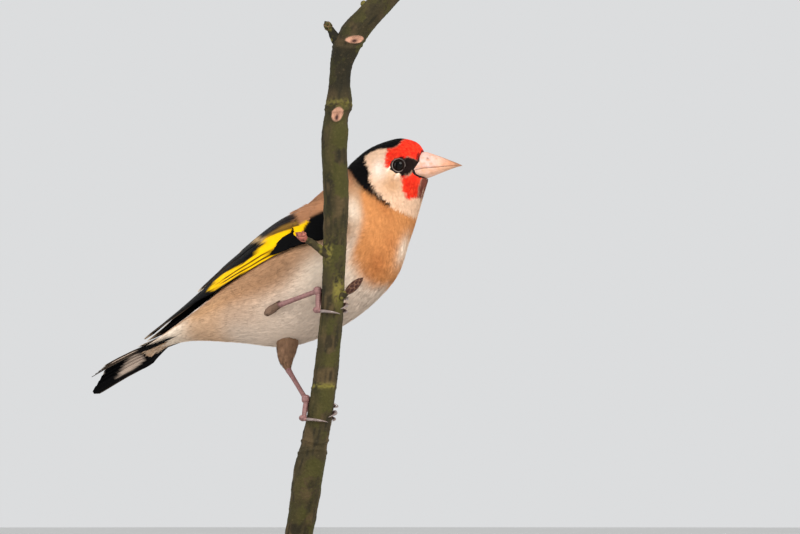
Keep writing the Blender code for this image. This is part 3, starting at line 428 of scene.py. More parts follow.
class WingSurface:
    """A folded wing's sheet: p runs from wrist to tip, q from its lower to its upper edge."""

    way = 1.0
    steps = np.linspace(0.0, 5.9, 240)

    def __init__(self, side):
        self.side = side

    def push_out(self, point, clear):
        """Moves points straight out of the body's section that they lie in."""
        rows = rows_at(BODY_SECTIONS, self.steps)
        chord = rows[:, 0:2] - rows[:, 2:4]
        x, y, z = point.T
        turn = chord[None, :, 0] * (z[:, None] - rows[None, :, 3]) - chord[None, :, 1] * (x[:, None] - rows[None, :, 2])
        change = np.sign(turn[:, :-1]) != np.sign(turn[:, 1:])
        k = change.argmax(1)
        n = np.arange(len(x))
        share = turn[n, k] / (turn[n, k] - turn[n, k + 1] + 1e-12)
        t = self.steps[k] + share * (self.steps[k + 1] - self.steps[k])
        centre, up, half, width = section(t)
        high = (x - centre[:, 0]) * up[:, 0] + (z - centre[:, 1]) * up[:, 1]
        reach = np.maximum(np.hypot(high / (half + clear), y / (width + clear)), 1e-6)
        moved = np.stack([centre[:, 0] + up[:, 0] * high / reach, y / reach, centre[:, 1] + up[:, 1] * high / reach], 1)
        return np.where((change.any(1) & (reach < 1.0))[:, None], moved, point)

    def plain(self, u, v):
        last = len(WING_LOWER) - 1
        lower = rows_at(WING_LOWER, u * last)
        upper = rows_at(WING_UPPER, u * last)
        across = upper - lower
        out = unit(np.stack([np.zeros_like(u), across[:, 2], -across[:, 1]], 1))
        bulge = WING_BULGE * 4.0 * v * (1.0 - v) * (1.0 - WING_FLATTEN * u)
        return lower + across * v[:, None] + out * bulge[:, None]

    def border(self, u):
        table = np.asarray(WING_BORDER)
        return np.interp(u, table[:, 0], table[:, 1])

    def across(self, u, q):
        """The share of the sheet for q, which is 0 at the feathers' lower border and 1 at the upper edge."""
        edge = self.border(u)
        return edge + (1.0 - edge) * q

    def chord(self, u):
        last = len(WING_LOWER) - 1
        full = np.linalg.norm(rows_at(WING_UPPER, u * last) - rows_at(WING_LOWER, u * last), axis=1)
        return full * (1.0 - self.border(u))

    def point(self, p, q, lift):
        lift = np.broadcast_to(lift, p.shape)
        q = self.across(p, q)
        along = self.plain(np.minimum(p + 0.01, 1.0), q) - self.plain(np.minimum(p, 1.0) - 0.01, q)
        across = self.plain(p, q + 0.02) - self.plain(p, q - 0.02)
        normal = unit(np.cross(along, across))
        point = self.push_out(self.plain(p, q) + normal * lift[:, None], WING_CLEAR + lift)
        point[:, 1] *= self.side
        return point


class TailSurface:
    """The tail's roof-shaped sheet: p is millimetres from its root, q millimetres to the left."""

    way = 1.0

    def point(self, p, q, lift):
        ridge = np.asarray(TAIL_RIDGE, dtype=float)
        steps = np.linalg.norm(np.diff(ridge, axis=0), axis=1)
        starts = np.concatenate([[0.0], np.cumsum(steps)])
        k = np.clip(np.searchsorted(starts, p, side="right") - 1, 0, len(steps) - 1)
        way = (ridge[k + 1] - ridge[k]) / steps[k][:, None]
        along = ridge[k] + way * (p - starts[k])[:, None]
        side = q * math.cos(TAIL_ROOF)
        rise = lift - np.abs(q) * math.sin(TAIL_ROOF) * np.clip(p / TAIL_ROOF_RUN, 0.0, 1.0)
        twist = TAIL_TWIST * np.clip(p / TAIL_TWIST_RUN, 0.0, 1.0)
        turned_side = side * np.cos(twist) + rise * np.sin(twist)
        turned_rise = rise * np.cos(twist) - side * np.sin(twist)
        x = along[:, 0] + way[:, 1] * turned_rise
        z = along[:, 1] - way[:, 0] * turned_rise
        back = x - ridge[0][0]
        y = turned_side * math.cos(TAIL_YAW) + back * math.sin(TAIL_YAW)
        x = ridge[0][0] + back * math.cos(TAIL_YAW) - turned_side * math.sin(TAIL_YAW)
        return np.stack([x, y, z], 1)


class LimbSurface:
    """A limb's round surface in the model's frame: p is the share along it, q the angle round it."""

    way = 1.0

    def __init__(self, path, radii):
        self.path = np.asarray(path, dtype=float)
        self.radii = np.asarray(radii, dtype=float)[:, None]

    def point(self, p, q, lift):
        last = len(self.path) - 1
        axis = rows_at(self.path, p * last)
        way = unit(rows_at(self.path, (p + 0.02) * last) - rows_at(self.path, (p - 0.02) * last))
        first = unit(np.cross(way, np.tile([0.0, 1.0, 0.0], (len(p), 1))))
        second = np.cross(way, first)
        reach = rows_at(self.radii, p * last)[:, 0] + lift
        return axis + first * (reach * np.cos(q))[:, None] + second * (reach * np.sin(q))[:, None]


def scales(surface, p, q):
    """Millimetres for a unit of p and of q at places on a surface."""
    zero = np.zeros_like(p)
    step_p, step_q = 1e-3, 1e-3
    here = surface.point(p, q, zero)
    along = np.linalg.norm(surface.point(p + step_p, q, zero) - here, axis=1) / step_p
    across = np.linalg.norm(surface.point(p, q + step_q, zero) - here, axis=1) / step_q
    return np.maximum(along, 0.3), np.maximum(across, 0.3)


def outward(points, faces):
    """The faces, all turned round where the closed piece would be inside out."""
    volume = 0.0
    for block in faces:
        first = points[block[:, 0]]
        for k in range(1, block.shape[1] - 1):
            volume += np.sum(first * np.cross(points[block[:, k]], points[block[:, k + 1]]))
    return faces if volume > 0.0 else [block[:, ::-1] for block in faces]


def add_mesh(name, points, faces, colours=None, uv=None, facing=None, uv_name="OFBake", material=None, in_bird=True):
    """A piece from numpy arrays. faces is a list of arrays of equal-sized polygons.

    facing gives the ways that the coat faces, which its blades are shaded by for the most part.
    """
    if facing is not None and in_bird:
        facing = to_world(points + facing) - to_world(points)
    points = to_world(points) if in_bird else np.asarray(points, dtype=float) * MM
    faces = outward(points, faces)
    loops = np.concatenate([block.ravel() for block in faces])
    sizes = np.concatenate([np.full(len(block), block.shape[1]) for block in faces])
    starts = np.concatenate([[0], np.cumsum(sizes)[:-1]])
    mesh = bpy.data.meshes.new(name)
    mesh.vertices.add(len(points))
    mesh.vertices.foreach_set("co", points.astype(np.float32).ravel())
    mesh.loops.add(len(loops))
    mesh.loops.foreach_set("vertex_index", loops.astype(np.int32))
    mesh.polygons.add(len(sizes))
    mesh.polygons.foreach_set("loop_start", starts.astype(np.int32))
    mesh.polygons.foreach_set("use_smooth", np.ones(len(sizes), dtype=bool))
    mesh.update(calc_edges=True)
    if colours is not None:
        layer = mesh.color_attributes.new("tint", "FLOAT_COLOR", "POINT")
        rgba = np.ones((len(points), 4), dtype=np.float32)
        rgba[:, 0:3] = colours
        layer.data.foreach_set("color", rgba.ravel())
    if uv is not None:
        layer = mesh.uv_layers.new(name=uv_name)
        layer.data.foreach_set("uv", np.asarray(uv, dtype=np.float32)[loops].ravel())
    mesh.validate()
    if facing is not None:
        own = np.empty(3 * len(points), dtype=np.float32)
        mesh.vertex_normals.foreach_get("vector", own)
        shaded = unit(FACING_SHARE * unit(facing) + (1.0 - FACING_SHARE) * own.reshape(-1, 3))
        mesh.normals_split_custom_set_from_vertices(shaded.tolist())
    piece = bpy.data.objects.new(name, mesh)
    bpy.context.scene.collection.objects.link(piece)
    if material is not None:
        mesh.materials.append(material)
    return piece


def join_blocks(blocks):
    """Joins (points, face arrays, colours, uv, any ways that they face) blocks into one."""
    offset = 0
    faces = []
    for block in blocks:
        faces += [face + offset for face in block[1]]
        offset += len(block[0])
    joined = [np.vstack([block[k] for block in blocks]) for k in (0, *range(2, len(blocks[0])))]
    return joined[0], faces, *joined[1:]


def way_out(surface, p, q):
    """The ways that a surface faces at places on it, as unit rows."""
    zero = np.zeros_like(p)
    here = surface.point(p, q, zero)
    along = surface.point(p + 1e-3, q, zero) - here
    across = surface.point(p, q + 1e-3, zero) - here
    out = unit(np.cross(along, across))
    lift = surface.point(p, q, zero + 0.5) - here
    return out * np.sign(np.sum(out * lift, axis=1))[:, None]


# One feather of the coat is a fan of narrow three-sided blades that share a root.
BLADES = 7
BLADE_STATIONS = (0.06, 0.58, 1.0)
BLADE_DROP = (0.0, 0.10, 0.26)
BLADE_FAN = (0.25, 0.86, 1.04)
BLADE_HALF = (0.085, 0.105)
FACING_SHARE = 0.74
BLADE_FACES = (
    (0, 2, 1), (0, 1, 4), (0, 4, 3), (1, 2, 5), (1, 5, 4), (2, 0, 3), (2, 3, 5), (3, 4, 6), (4, 5, 6), (5, 3, 6),
)


def fans(surface, places, sizes, lifts, turn, roots, tips, uv_at, draw, blades=BLADES, paint_at=None, smooth=None):
    """Feathers of the coat, as (points, faces, colours, uv).

    places is p and q of the roots, sizes their length and width, lifts those of root and tip,
    turn how far each swings from the lie of the coat, and uv_at a function of p and q.
    paint_at gives colours at p and q, which take over from those of the feather by smooth.
    """
    p, q = places
    length, width = sizes
    count = len(p)
    along_scale, across_scale = scales(surface, p, q)
    here = surface.point(p, q, np.zeros_like(p))
    for _ in range(2):
        end = p + surface.way * length / along_scale
        along_scale = np.linalg.norm(surface.point(end, q, np.zeros_like(p)) - here, axis=1) / np.abs(end - p)
    spread = np.linspace(-1.0, 1.0, blades)[None, :] + draw.uniform(-0.14, 0.14, (count, blades))
    stretch = 1.0 + draw.uniform(-0.16, 0.10, (count, blades))
    bend = draw.uniform(-0.05, 0.05, (count, blades))
    rows = []
    for k, station in enumerate(BLADE_STATIONS):
        along = length[:, None] * station * (1.0 - BLADE_DROP[k] * spread**2) * stretch
        across = 0.5 * width[:, None] * spread * BLADE_FAN[k] + bend * length[:, None] * station**2
        rise = lifts[0][:, None] + (lifts[1] - lifts[0])[:, None] * station**0.8
        rise = rise - 0.10 * width[:, None] * spread**2 * station
        thick = 0.012 * width[:, None] + 0.008
        half = width[:, None] * BLADE_HALF[k] if k < 2 else 0.0
        offsets = ((-half, 0.0), (half, 0.0), (0.0, 1.0)) if k < 2 else ((0.0, 0.3),)
        for shift, up in offsets:
            rows.append((along, across + shift, rise + up * thick))
    along = np.stack([row[0] + 0.0 * spread for row in rows], 2)
    across = np.stack([row[1] + 0.0 * spread for row in rows], 2)
    rise = np.stack([row[2] + 0.0 * spread for row in rows], 2)
    cos_turn = np.cos(turn)[:, None, None]
    sin_turn = np.sin(turn)[:, None, None]
    swung_along = along * cos_turn - across * sin_turn
    swung_across = across * cos_turn + along * sin_turn
    at_p = p[:, None, None] + surface.way * swung_along / along_scale[:, None, None]
    at_q = q[:, None, None] + swung_across / across_scale[:, None, None]
    points = surface.point(at_p.ravel(), at_q.ravel(), rise.ravel())
    shade = 1.0 + draw.uniform(-0.04, 0.04, (count, blades, 1, 1))
    mix = np.array([0.0, 0.0, 0.0, 0.6, 0.6, 0.6, 1.0])[None, None, :, None]
    colours = roots[:, None, None, :] * (1.0 - mix) + tips[:, None, None, :] * mix
    if paint_at is not None:
        own = paint_at(at_p.ravel(), at_q.ravel()).reshape(count, blades, 7, 3) * (0.94 + 0.06 * mix)
        colours = colours + (own - colours) * smooth[:, None, None, None]
    colours = colours * shade
    base = uv_at(p, q)
    spot = np.stack([across / width[:, None, None], along / length[:, None, None] - 0.5], 3) * 0.003
    uv = base[:, None, None, :] + spot
    faces = np.array(BLADE_FACES)[None, :, :] + 7 * np.arange(count * blades)[:, None, None]
    if surface.way < 0:
        faces = faces[:, :, ::-1]
    facing = way_out(surface, at_p.ravel(), at_q.ravel())
    return points, [faces.reshape(-1, 3)], colours.reshape(-1, 3), uv.reshape(-1, 2), facing


def closed_sheet(top, low, rows, columns):
    """A closed thin piece from two grids of points, as (points, faces)."""
    points = np.vstack([top, low])
    index = np.arange(rows * columns).reshape(rows, columns)
    upper = np.stack([index[:-1, :-1], index[:-1, 1:], index[1:, 1:], index[1:, :-1]], 2).reshape(-1, 4)
    under = upper[:, ::-1] + rows * columns
    rim = np.concatenate([index[0, :], index[1:, -1], index[-1, -2::-1], index[-2:0:-1, 0]])
    after = np.roll(rim, -1)
    wall = np.stack([rim, rim + rows * columns, after + rows * columns, after], 1)
    return points, [upper, under, wall]


# A flight feather: width at its root and tip as shares of its full width, where it is full and
# where its tip begins.
def vane_width(share, root, tip_from, tip_end, power=2.4):
    grow = root + (1.0 - root) * np.clip(share / 0.3, 0.0, 1.0)
    past = np.clip(share - tip_from, 0.0, 1.0) / (1.0 - tip_from)
    return grow * (tip_end + (1.0 - tip_end) * np.sqrt(np.maximum(1.0 - past**power, 0.0)))


VANE_COLUMNS = np.array([-1.0, -0.72, -0.36, -0.07, 0.0, 0.07, 0.36, 0.72, 1.0])
SHAFT = 4


def vane(surface, root, tip, width, height, tilt, shape, tint, draw, thick=0.16, rows=18, camber=0.10, metric=None,
         curve=1.0):
    """One flight feather or covert on a surface, as (points, faces, colours, uv)."""
    share = np.linspace(0.0, 1.0, rows) ** 0.9
    share, edge = np.meshgrid(share, VANE_COLUMNS, indexing="ij")
    share, edge = share.ravel(), edge.ravel()
    p = root[0] + (tip[0] - root[0]) * share
    q = root[1] + (tip[1] - root[1]) * share**curve
    half = 0.5 * width * vane_width(share, *shape)
    ragged = 1.0 + draw.uniform(-0.05, 0.05, share.shape) * (np.abs(edge) > 0.9)
    scale = metric(p) if metric else 1.0
    q = q + edge * half * ragged / scale
    arch = camber * width * (1.0 - edge**2)
    shaft = 0.07 * (1.0 - share * 0.7) * (np.abs(edge) < 0.01)
    lift = height + arch + shaft + tilt * np.clip(-edge, 0.0, 1.0)
    deep = thick * (1.0 - 0.6 * share) * (1.0 - 0.5 * np.abs(edge)) + 0.03
    top = surface.point(p, q, lift)
    low = surface.point(p, q, lift - deep)
    points, faces = closed_sheet(top, low, rows, len(VANE_COLUMNS))
    colours = tint(p, q, share, edge)
    length = np.linalg.norm(top[-1] - top[0])
    uv = np.stack([share * length, edge * half], 1)
    return points, faces, np.vstack([colours, colours]), np.vstack([uv, uv])


def new_material(name, roughness=0.6, specular=0.3):
    material = bpy.data.materials.new(name)
    material.use_nodes = True
    shader = material.node_tree.nodes["Principled BSDF"]
    shader.inputs["Roughness"].default_value = roughness
    shader.inputs["Specular IOR Level"].default_value = specular
    return material, material.node_tree, shader


def add_node(tree, kind, **values):
    node = tree.nodes.new(kind)
    for key, value in values.items():
        if hasattr(node, key):
            setattr(node, key, value)
        else:
            node.inputs[key.replace("_", " ")].default_value = value
    return node


def link(tree, source, target):
    tree.links.new(source, target)


def noise_node(tree, coordinates, scale, detail=3.0, roughness=0.6):
    node = add_node(tree, "ShaderNodeTexNoise", Scale=scale, Detail=detail, Roughness=roughness)
    link(tree, coordinates, node.inputs["Vector"])
    return node


def ramp_node(tree, source, stops):
    node = tree.nodes.new("ShaderNodeValToRGB")
    elements = node.color_ramp.elements
    while len(elements) < len(stops):
        elements.new(0.5)
    for element, (place, colour) in zip(elements, stops):
        element.position = place
        element.color = (*colour, 1.0)
    link(tree, source, node.inputs["Fac"])
    return node


def mix_node(tree, mode, factor, first, second):
    """A colour mix. factor, first and second are sockets or values."""
    node = tree.nodes.new("ShaderNodeMix")
    node.data_type = "RGBA"
    node.blend_type = mode
    for socket, value in ((node.inputs[0], factor), (node.inputs[6], first), (node.inputs[7], second)):
        if isinstance(value, bpy.types.NodeSocket):
            link(tree, value, socket)
        elif isinstance(value, (int, float)):
            socket.default_value = value
        else:
            socket.default_value = (*value, 1.0)
    return node.outputs[2]


def bump_node(tree, height, strength, distance, shader):
    node = add_node(tree, "ShaderNodeBump", Strength=strength, Distance=distance)
    link(tree, height, node.inputs["Height"])
    link(tree, node.outputs["Normal"], shader.inputs["Normal"])
    return node


def coat_material():
    """Small body feathers: the markings, mottled finely, with a soft dull surface."""
    material, tree, shader = new_material("coat", 0.85, 0.03)
    tint = add_node(tree, "ShaderNodeVertexColor", layer_name="tint")
    place = tree.nodes.new("ShaderNodeTexCoord").outputs["Object"]
    fine = noise_node(tree, place, 900.0)
    mottle = ramp_node(tree, fine.outputs["Fac"], ((0.3, (0.90, 0.90, 0.90)), (0.7, (1.07, 1.07, 1.07))))
    link(tree, mix_node(tree, "MULTIPLY", 1.0, tint.outputs["Color"], mottle.outputs["Color"]), shader.inputs["Base Color"])
    shader.inputs["Sheen Weight"].default_value = 0.01
    shader.inputs["Sheen Roughness"].default_value = 0.5
    return material


def skin_material():
    """The skin between the feathers' roots: the same markings, darker as painted shade under the coat, and finely
    pitted.
    """
    material, tree, shader = new_material("skin_under_coat", 0.9, 0.1)
    tint = add_node(tree, "ShaderNodeVertexColor", layer_name="tint")
    place = tree.nodes.new("ShaderNodeTexCoord").outputs["Object"]
    fine = noise_node(tree, place, 1400.0)
    shade = ramp_node(tree, fine.outputs["Fac"], ((0.3, (0.80, 0.80, 0.80)), (0.7, (0.98, 0.98, 0.98))))
    link(tree, mix_node(tree, "MULTIPLY", 1.0, tint.outputs["Color"], shade.outputs["Color"]), shader.inputs["Base Color"])
    bump_node(tree, fine.outputs["Fac"], 0.5, 0.0003, shader)
    return material


def flight_material():
    """Flight feathers: the markings over fine slanting barbs, with a satin surface."""
    material, tree, shader = new_material("flight_feathers", 0.6, 0.02)
    tint = add_node(tree, "ShaderNodeVertexColor", layer_name="tint")
    chart = add_node(tree, "ShaderNodeUVMap", uv_map="Vane")
    split = tree.nodes.new("ShaderNodeSeparateXYZ")
    link(tree, chart.outputs["UV"], split.inputs["Vector"])
    out = add_node(tree, "ShaderNodeMath", operation="ABSOLUTE")
    link(tree, split.outputs["Y"], out.inputs[0])
    slant = add_node(tree, "ShaderNodeMath", operation="MULTIPLY_ADD")
    link(tree, out.outputs[0], slant.inputs[0])
    slant.inputs[1].default_value = -1.1
    link(tree, split.outputs["X"], slant.inputs[2])
    barb = tree.nodes.new("ShaderNodeCombineXYZ")
    link(tree, slant.outputs[0], barb.inputs["X"])
    wave = add_node(tree, "ShaderNodeTexWave", Scale=1.5, Distortion=1.2, Detail=2.0)
    wave.inputs["Detail Scale"].default_value = 3.0
    link(tree, barb.outputs["Vector"], wave.inputs["Vector"])
    place = tree.nodes.new("ShaderNodeTexCoord").outputs["Object"]
    cloud = noise_node(tree, place, 260.0)
    mottle = ramp_node(tree, cloud.outputs["Fac"], ((0.3, (0.90, 0.90, 0.90)), (0.75, (1.1, 1.1, 1.1))))
    lines = ramp_node(tree, wave.outputs["Color"], ((0.2, (0.93, 0.93, 0.93)), (0.8, (1.04, 1.04, 1.04))))
    colour = mix_node(tree, "MULTIPLY", 1.0, tint.outputs["Color"], mottle.outputs["Color"])
    colour = mix_node(tree, "MULTIPLY", 1.0, colour, lines.outputs["Color"])
    link(tree, colour, shader.inputs["Base Color"])
    bump_node(tree, wave.outputs["Fac"], 0.15, 0.00006, shader)
    return material


SKIN_DEPTH = ((0.7,), (0.9,), (1.0,), (1.1,), (1.1,), (1.1,), (0.9,), (0.7,), (0.55,), (0.45,), (0.35,), (0.2,))
SKIN_ROWS = 220
SKIN_SIDES = 120


def skin_depth(t):
    return rows_at(SKIN_DEPTH, t)[:, 0]


def eye_point(side, out=0.0):
    x, y, z = EYE_CENTRE
    return lean_head((x + EYE_OUTWARD[0] * out, side * (y + EYE_OUTWARD[1] * out), z))[0]


def build_skin(material):
    """One skin over head, neck, body and rump, a coat's depth inside their outline."""
    t = np.linspace(0.0, FACE_END, SKIN_ROWS)
    angle = np.linspace(0.0, 2 * math.pi, SKIN_SIDES, endpoint=False)
    t, angle = (grid.ravel() for grid in np.meshgrid(t, angle, indexing="ij"))
    surface = BodySurface()
    upright = upright_body(t, angle, -skin_depth(t))
    upright[:, 1] *= 1.0 - 0.32 * inside(upright[:, 0], upright[:, 2], BILL_BASE, 0.35)
    points = lean(upright, t)
    for side in (-1, 1):
        centre = eye_point(side)
        reach = np.linalg.norm(points - centre, axis=1)
        clear = EYE_RADIUS + 0.12
        sunk = reach < clear
        points[sunk] = centre + (points[sunk] - centre) * 0.985
    index = np.arange(SKIN_ROWS * SKIN_SIDES).reshape(SKIN_ROWS, SKIN_SIDES)
    after = np.roll(index, -1, axis=1)
    quads = np.stack([index[:-1], after[:-1], after[1:], index[1:]], 2).reshape(-1, 4)
    ends = [index[0, ::-1][None, :], index[-1][None, :]]
    uv = np.stack([angle / (2 * math.pi), t / FACE_END], 1)
    skin = add_mesh("goldfinch_skin", points, [quads] + ends, plumage(t, angle), uv, material=material)
    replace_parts(skin, "head", "neck", "torso", "rump")
    return skin


# Small feathers by section t: t, length, width and spacing, in millimetres.
COAT_SIZES = (
    (0.0, 6.4, 2.2, 0.95),
    (1.5, 7.6, 2.5, 1.05),
    (3.5, 8.4, 2.7, 1.15),
    (5.0, 6.6, 2.2, 0.98),
    (6.0, 4.4, 1.7, 0.74),
    (6.8, 2.9, 1.2, 0.52),
    (8.0, 1.9, 0.85, 0.40),
    (9.5, 1.5, 0.70, 0.36),
    (10.9, 1.2, 0.60, 0.32),
)


def coat_size(t, column):
    table = np.asarray(COAT_SIZES)
    return np.interp(t, table[:, 0], table[:, column])


def coat_places(surface, draw):
    """Roots in staggered rows from the bill to the tail."""
    t = FACE_END - 0.12
    p, q = [], []
    shift = 0.0
    while t > 0.05:
        spacing = float(coat_size(t, 3))
        around = np.linspace(0.0, 2 * math.pi, 24, endpoint=False)
        along_scale, across_scale = scales(surface, np.full(24, t), around)
        girth = float(across_scale.mean()) * 2 * math.pi
        count = max(int(girth / spacing), 6)
        # Columns are spread evenly by length round the section, not by angle.
        steps = np.concatenate([[0.0], np.cumsum(across_scale + np.roll(across_scale, -1))])
        share = (np.arange(count) + shift + draw.uniform(-0.3, 0.3, count)) / count % 1.0
        angle = np.interp(share * steps[-1], steps, np.linspace(0.0, 2 * math.pi, 25))
        local, _ = scales(surface, np.full(count, t), angle)
        p.append(t + draw.uniform(-0.4, 0.4, count) * spacing / local)
        q.append(angle)
        shift = 0.5 - shift
        t -= 0.9 * spacing / float(along_scale.mean())
    return np.concatenate(p), np.concatenate(q)


def hidden_by_wings(points):
    """Which points lie well under a folded wing."""
    u, v = (grid.ravel() for grid in np.meshgrid(np.linspace(0.10, 0.92, 42), np.linspace(0.2, 0.8, 9), indexing="ij"))
    covered = np.zeros(len(points), dtype=bool)
    for side in (-1, 1):
        sheet = WingSurface(side).point(u, v, np.zeros_like(u))
        for spot in sheet:
            covered |= np.sum((points - spot) ** 2, axis=1) < 2.2**2
    return covered


COAT_PARTS = (
    ("coat_rump", 0.0, 1.9),
    ("coat_belly", 1.9, 3.4),
    ("coat_flanks", 3.4, 4.4),
    ("coat_breast", 4.4, 5.4),
    ("coat_neck", 5.4, 6.4),
    ("coat_nape", 6.4, 7.2),
    ("coat_cheeks", 7.2, 8.2),
    ("coat_face", 8.2, 11.1),
)


def build_coat(material):
    """The small feathers over the skin, in a few joined pieces."""
    surface = BodySurface()
    draw = np.random.default_rng(SEED)
    p, q = coat_places(surface, draw)
    outer = surface.point(p, q, np.zeros_like(p))
    keep = ~hidden_by_wings(outer)
    length = coat_size(p, 1) * draw.uniform(0.85, 1.12, len(p))
    width = coat_size(p, 2) * draw.uniform(0.88, 1.12, len(p))
    along_scale, _ = scales(surface, p, q)
    tip_p = p - 0.8 * length / along_scale
    tip = surface.point(tip_p, q, np.zeros_like(p))
    middle = surface.point(p - 0.4 * length / along_scale, q, np.zeros_like(p))
    for side in (-1, 1):
        centre = eye_point(side, 1.6)
        for spot, reach in ((outer, 2.35), (middle, 2.25), (tip, 2.2)):
            keep &= np.linalg.norm(spot - centre, axis=1) > reach
    upright = upright_body(p, q, np.zeros_like(p))
    keep &= inside(upright[:, 0], upright[:, 2], BILL_BASE, 0.05) < 0.5
    p, q, length, width, tip_p = (values[keep] for values in (p, q, length, width, tip_p))
    depth = skin_depth(p)
    lifts = (-0.95 * depth, draw.uniform(-0.14, 0.03, len(p)) * np.interp(p, (6.0, 8.0), (1.0, 0.6)))
    turn = draw.normal(0.0, 0.08, len(p))
    tips = plumage(tip_p + draw.normal(0.0, 0.02, len(p)), q)
    red = ramp(tips[:, 0] - 3.0 * tips[:, 1], 0.3, 0.5)
    tips = paint(tips, RED_BRIGHT, red * draw.uniform(0.0, 0.7, len(p)))
    tips = tips * draw.uniform(0.94, 1.05, len(p))[:, None]
    # Roots are painted at 0.92 of the tips' colour: painted shade deep in the coat.
    roots = tips * 0.92
    for name, start, end in COAT_PARTS:
        chosen = (p >= start) & (p < end)
        low, high = start / FACE_END, end / FACE_END

        def uv_at(at_p, at_q, low=low, high=high):
            return np.stack([at_q / (2 * math.pi) % 1.0, (at_p / FACE_END - low) / (high - low)], 1)

        block = fans(
            surface,
            (p[chosen], q[chosen]),
            (length[chosen], width[chosen]),
            (lifts[0][chosen], lifts[1][chosen]),
            turn[chosen],
            roots[chosen],
            tips[chosen],
            uv_at,
            draw,
            paint_at=plumage if end < 7.0 else None,
            smooth=ramp(p[chosen], 6.6, 6.1) * 0.85,
        )
        piece = add_mesh(name, *block, material=material)
        PIECES.append(piece)


def build_shoulder(side, material):
    """Small brown feathers of the shoulder, over the wing's upper front."""
    surface = WingSurface(side)
    draw = np.random.default_rng(SEED + 23)
    count = 620
    p = draw.uniform(-0.03, 0.21, count)
    q = draw.uniform(0.45, 1.06, count)
    length = draw.uniform(4.2, 5.6, count)
    width = draw.uniform(1.7, 2.2, count)
    tip_p = p + length / 74.0
    keep = inside(tip_p * 10.0, q * 3.0, [(u * 10.0, w * 3.0) for u, w in WING_MANTLE], 0.05) > 0.5
    p, q, length, width = (values[keep] for values in (p, q, length, width))
    order = np.argsort(-p)
    p, q, length, width = (values[order] for values in (p, q, length, width))
    count = len(p)
    lifts = (np.full(count, 0.9), draw.uniform(1.35, 1.5, count))
    tips = MANTLE * draw.uniform(0.90, 1.12, count)[:, None]

    def uv_at(at_p, at_q):
        return np.stack([(at_p + 0.1) / 0.4, at_q - 0.3], 1)

    # Roots at 0.7 of the tips' colour: painted shade deep in the coat.
    block = fans(surface, (p, q), (length, width), lifts, draw.normal(0.0, 0.08, count), tips * 0.7, tips, uv_at, draw)
    points, faces, *rest = block
    if side > 0:
        faces = [face[:, ::-1] for face in faces]
    name = "coat_shoulder_left" if side > 0 else "coat_shoulder_right"
    piece = add_mesh(name, points, faces, *rest, material=material)
    PIECES.append(piece)


PIECES = []


def wing_tint(row, surface):
    """The colour rule of one row of wing feathers."""
    def tint(p, q, share, edge):
        v = surface.across(p, q)
        colours = np.tile(BLACK, (len(p), 1))
        masks = {}
        for name, outline, soft in WING_MARKS:
            masks[name] = inside(p * 10.0, v * 3.0, [(u * 10.0, w * 3.0) for u, w in outline], soft)
        yellow = masks["yellow"]
        if row == "primaries":
            yellow = yellow * (0.75 + 0.25 * ramp(edge, -0.96, -0.86))
            line = np.interp(p, [u for u, _ in WING_LINE], [w for _, w in WING_LINE])
            off_line = np.minimum(np.abs(v - line), np.abs(v - line - 0.10))
            on_line = ramp(off_line, 0.030, 0.012) * ramp(p, 0.30, 0.33) * ramp(p, 0.60, 0.56)
            yellow = yellow * (1.0 - on_line)
        if row in ("wrist_coverts", "alula"):
            yellow = yellow * 0.0
        colours = paint(colours, YELLOW, yellow)
        if row in ("greater", "tertials", "secondaries", "small"):
            colours = paint(colours, COVERT_BROWN, masks["brown"])
            # Painted shadow over the scapulars, in dark grey.
            colours = paint(colours, SCAPULAR_SHADOW, masks["scapular_shadow"])
            colours = paint(colours, MANTLE, masks["mantle"])
        if row in ("tertials", "secondaries"):
            colours = paint(colours, FRINGE, masks["fringe"] * 0.9)
            colours = paint(colours, CREAM, ramp(share, 0.95, 0.98) * 0.9)
            colours = paint(colours, VANE_BROWN, ramp(edge, -0.9, -0.98) * ramp(share, 0.5, 0.7) * 0.5)
        if row == "primaries":
            colours = paint(colours, CREAM, ramp(share, 0.982, 0.992) * 0.7)
            colours = paint(colours, VANE_BROWN, ramp(edge, -0.92, -0.99) * ramp(share, 0.62, 0.75) * 0.6)
        return colours
    return tint


WING_MARKS = (
    ("yellow", WING_YELLOW, 0.05), ("brown", WING_BROWN, 0.20), ("scapular_shadow", WING_SCAPULAR_SHADOW, 0.12),
    ("mantle", WING_MANTLE, 0.15), ("fringe", WING_FRINGE, 0.06),
)

# Rows of wing feathers: how many, then for the first and last of the row the root's and tip's
# place along and across the wing, width, height over the sheet of the first and the last,
# tilt of the lower edge, and shape of the vane.
WING_ROWS = {
    "primaries": (9, (0.24, 0.06, 1.0, 0.58), (0.28, 0.40, 0.91, 0.84), 2.9, (0.10, 0.45), 0.10, (0.7, 0.80, 0.12)),
    "secondaries": (6, (0.24, 0.40, 0.71, 0.66), (0.22, 0.66, 0.65, 0.80), 3.2, (0.50, 0.75), 0.1, (0.7, 0.86, 0.3)),
    "tertials": (3, (0.20, 0.66, 0.725, 0.84), (0.18, 0.86, 0.53, 0.93), 4.6, (0.85, 1.0), 0.1, (0.6, 0.72, 0.2)),
    "wrist_coverts": (8, (0.11, 0.04, 0.312, 0.05), (0.14, 0.26, 0.285, 0.23), 2.2, (0.6, 0.8), 0.1, (0.6, 0.7, 0.2)),
    "alula": (3, (0.07, 0.05, 0.25, 0.03), (0.08, 0.16, 0.21, 0.11), 2.0, (0.85, 0.95), 0.10, (0.6, 0.7, 0.2)),
    "greater": (9, (0.07, 0.26, 0.225, 0.27), (0.05, 0.92, 0.208, 1.0), 2.8, (1.0, 1.15), 0.10, (0.6, 0.72, 0.25)),
    "small": (9, (0.00, 0.10, 0.160, 0.14), (0.00, 0.88, 0.135, 0.92), 3.0, (1.2, 1.3), 0.10, (0.6, 0.6, 0.25)),
}


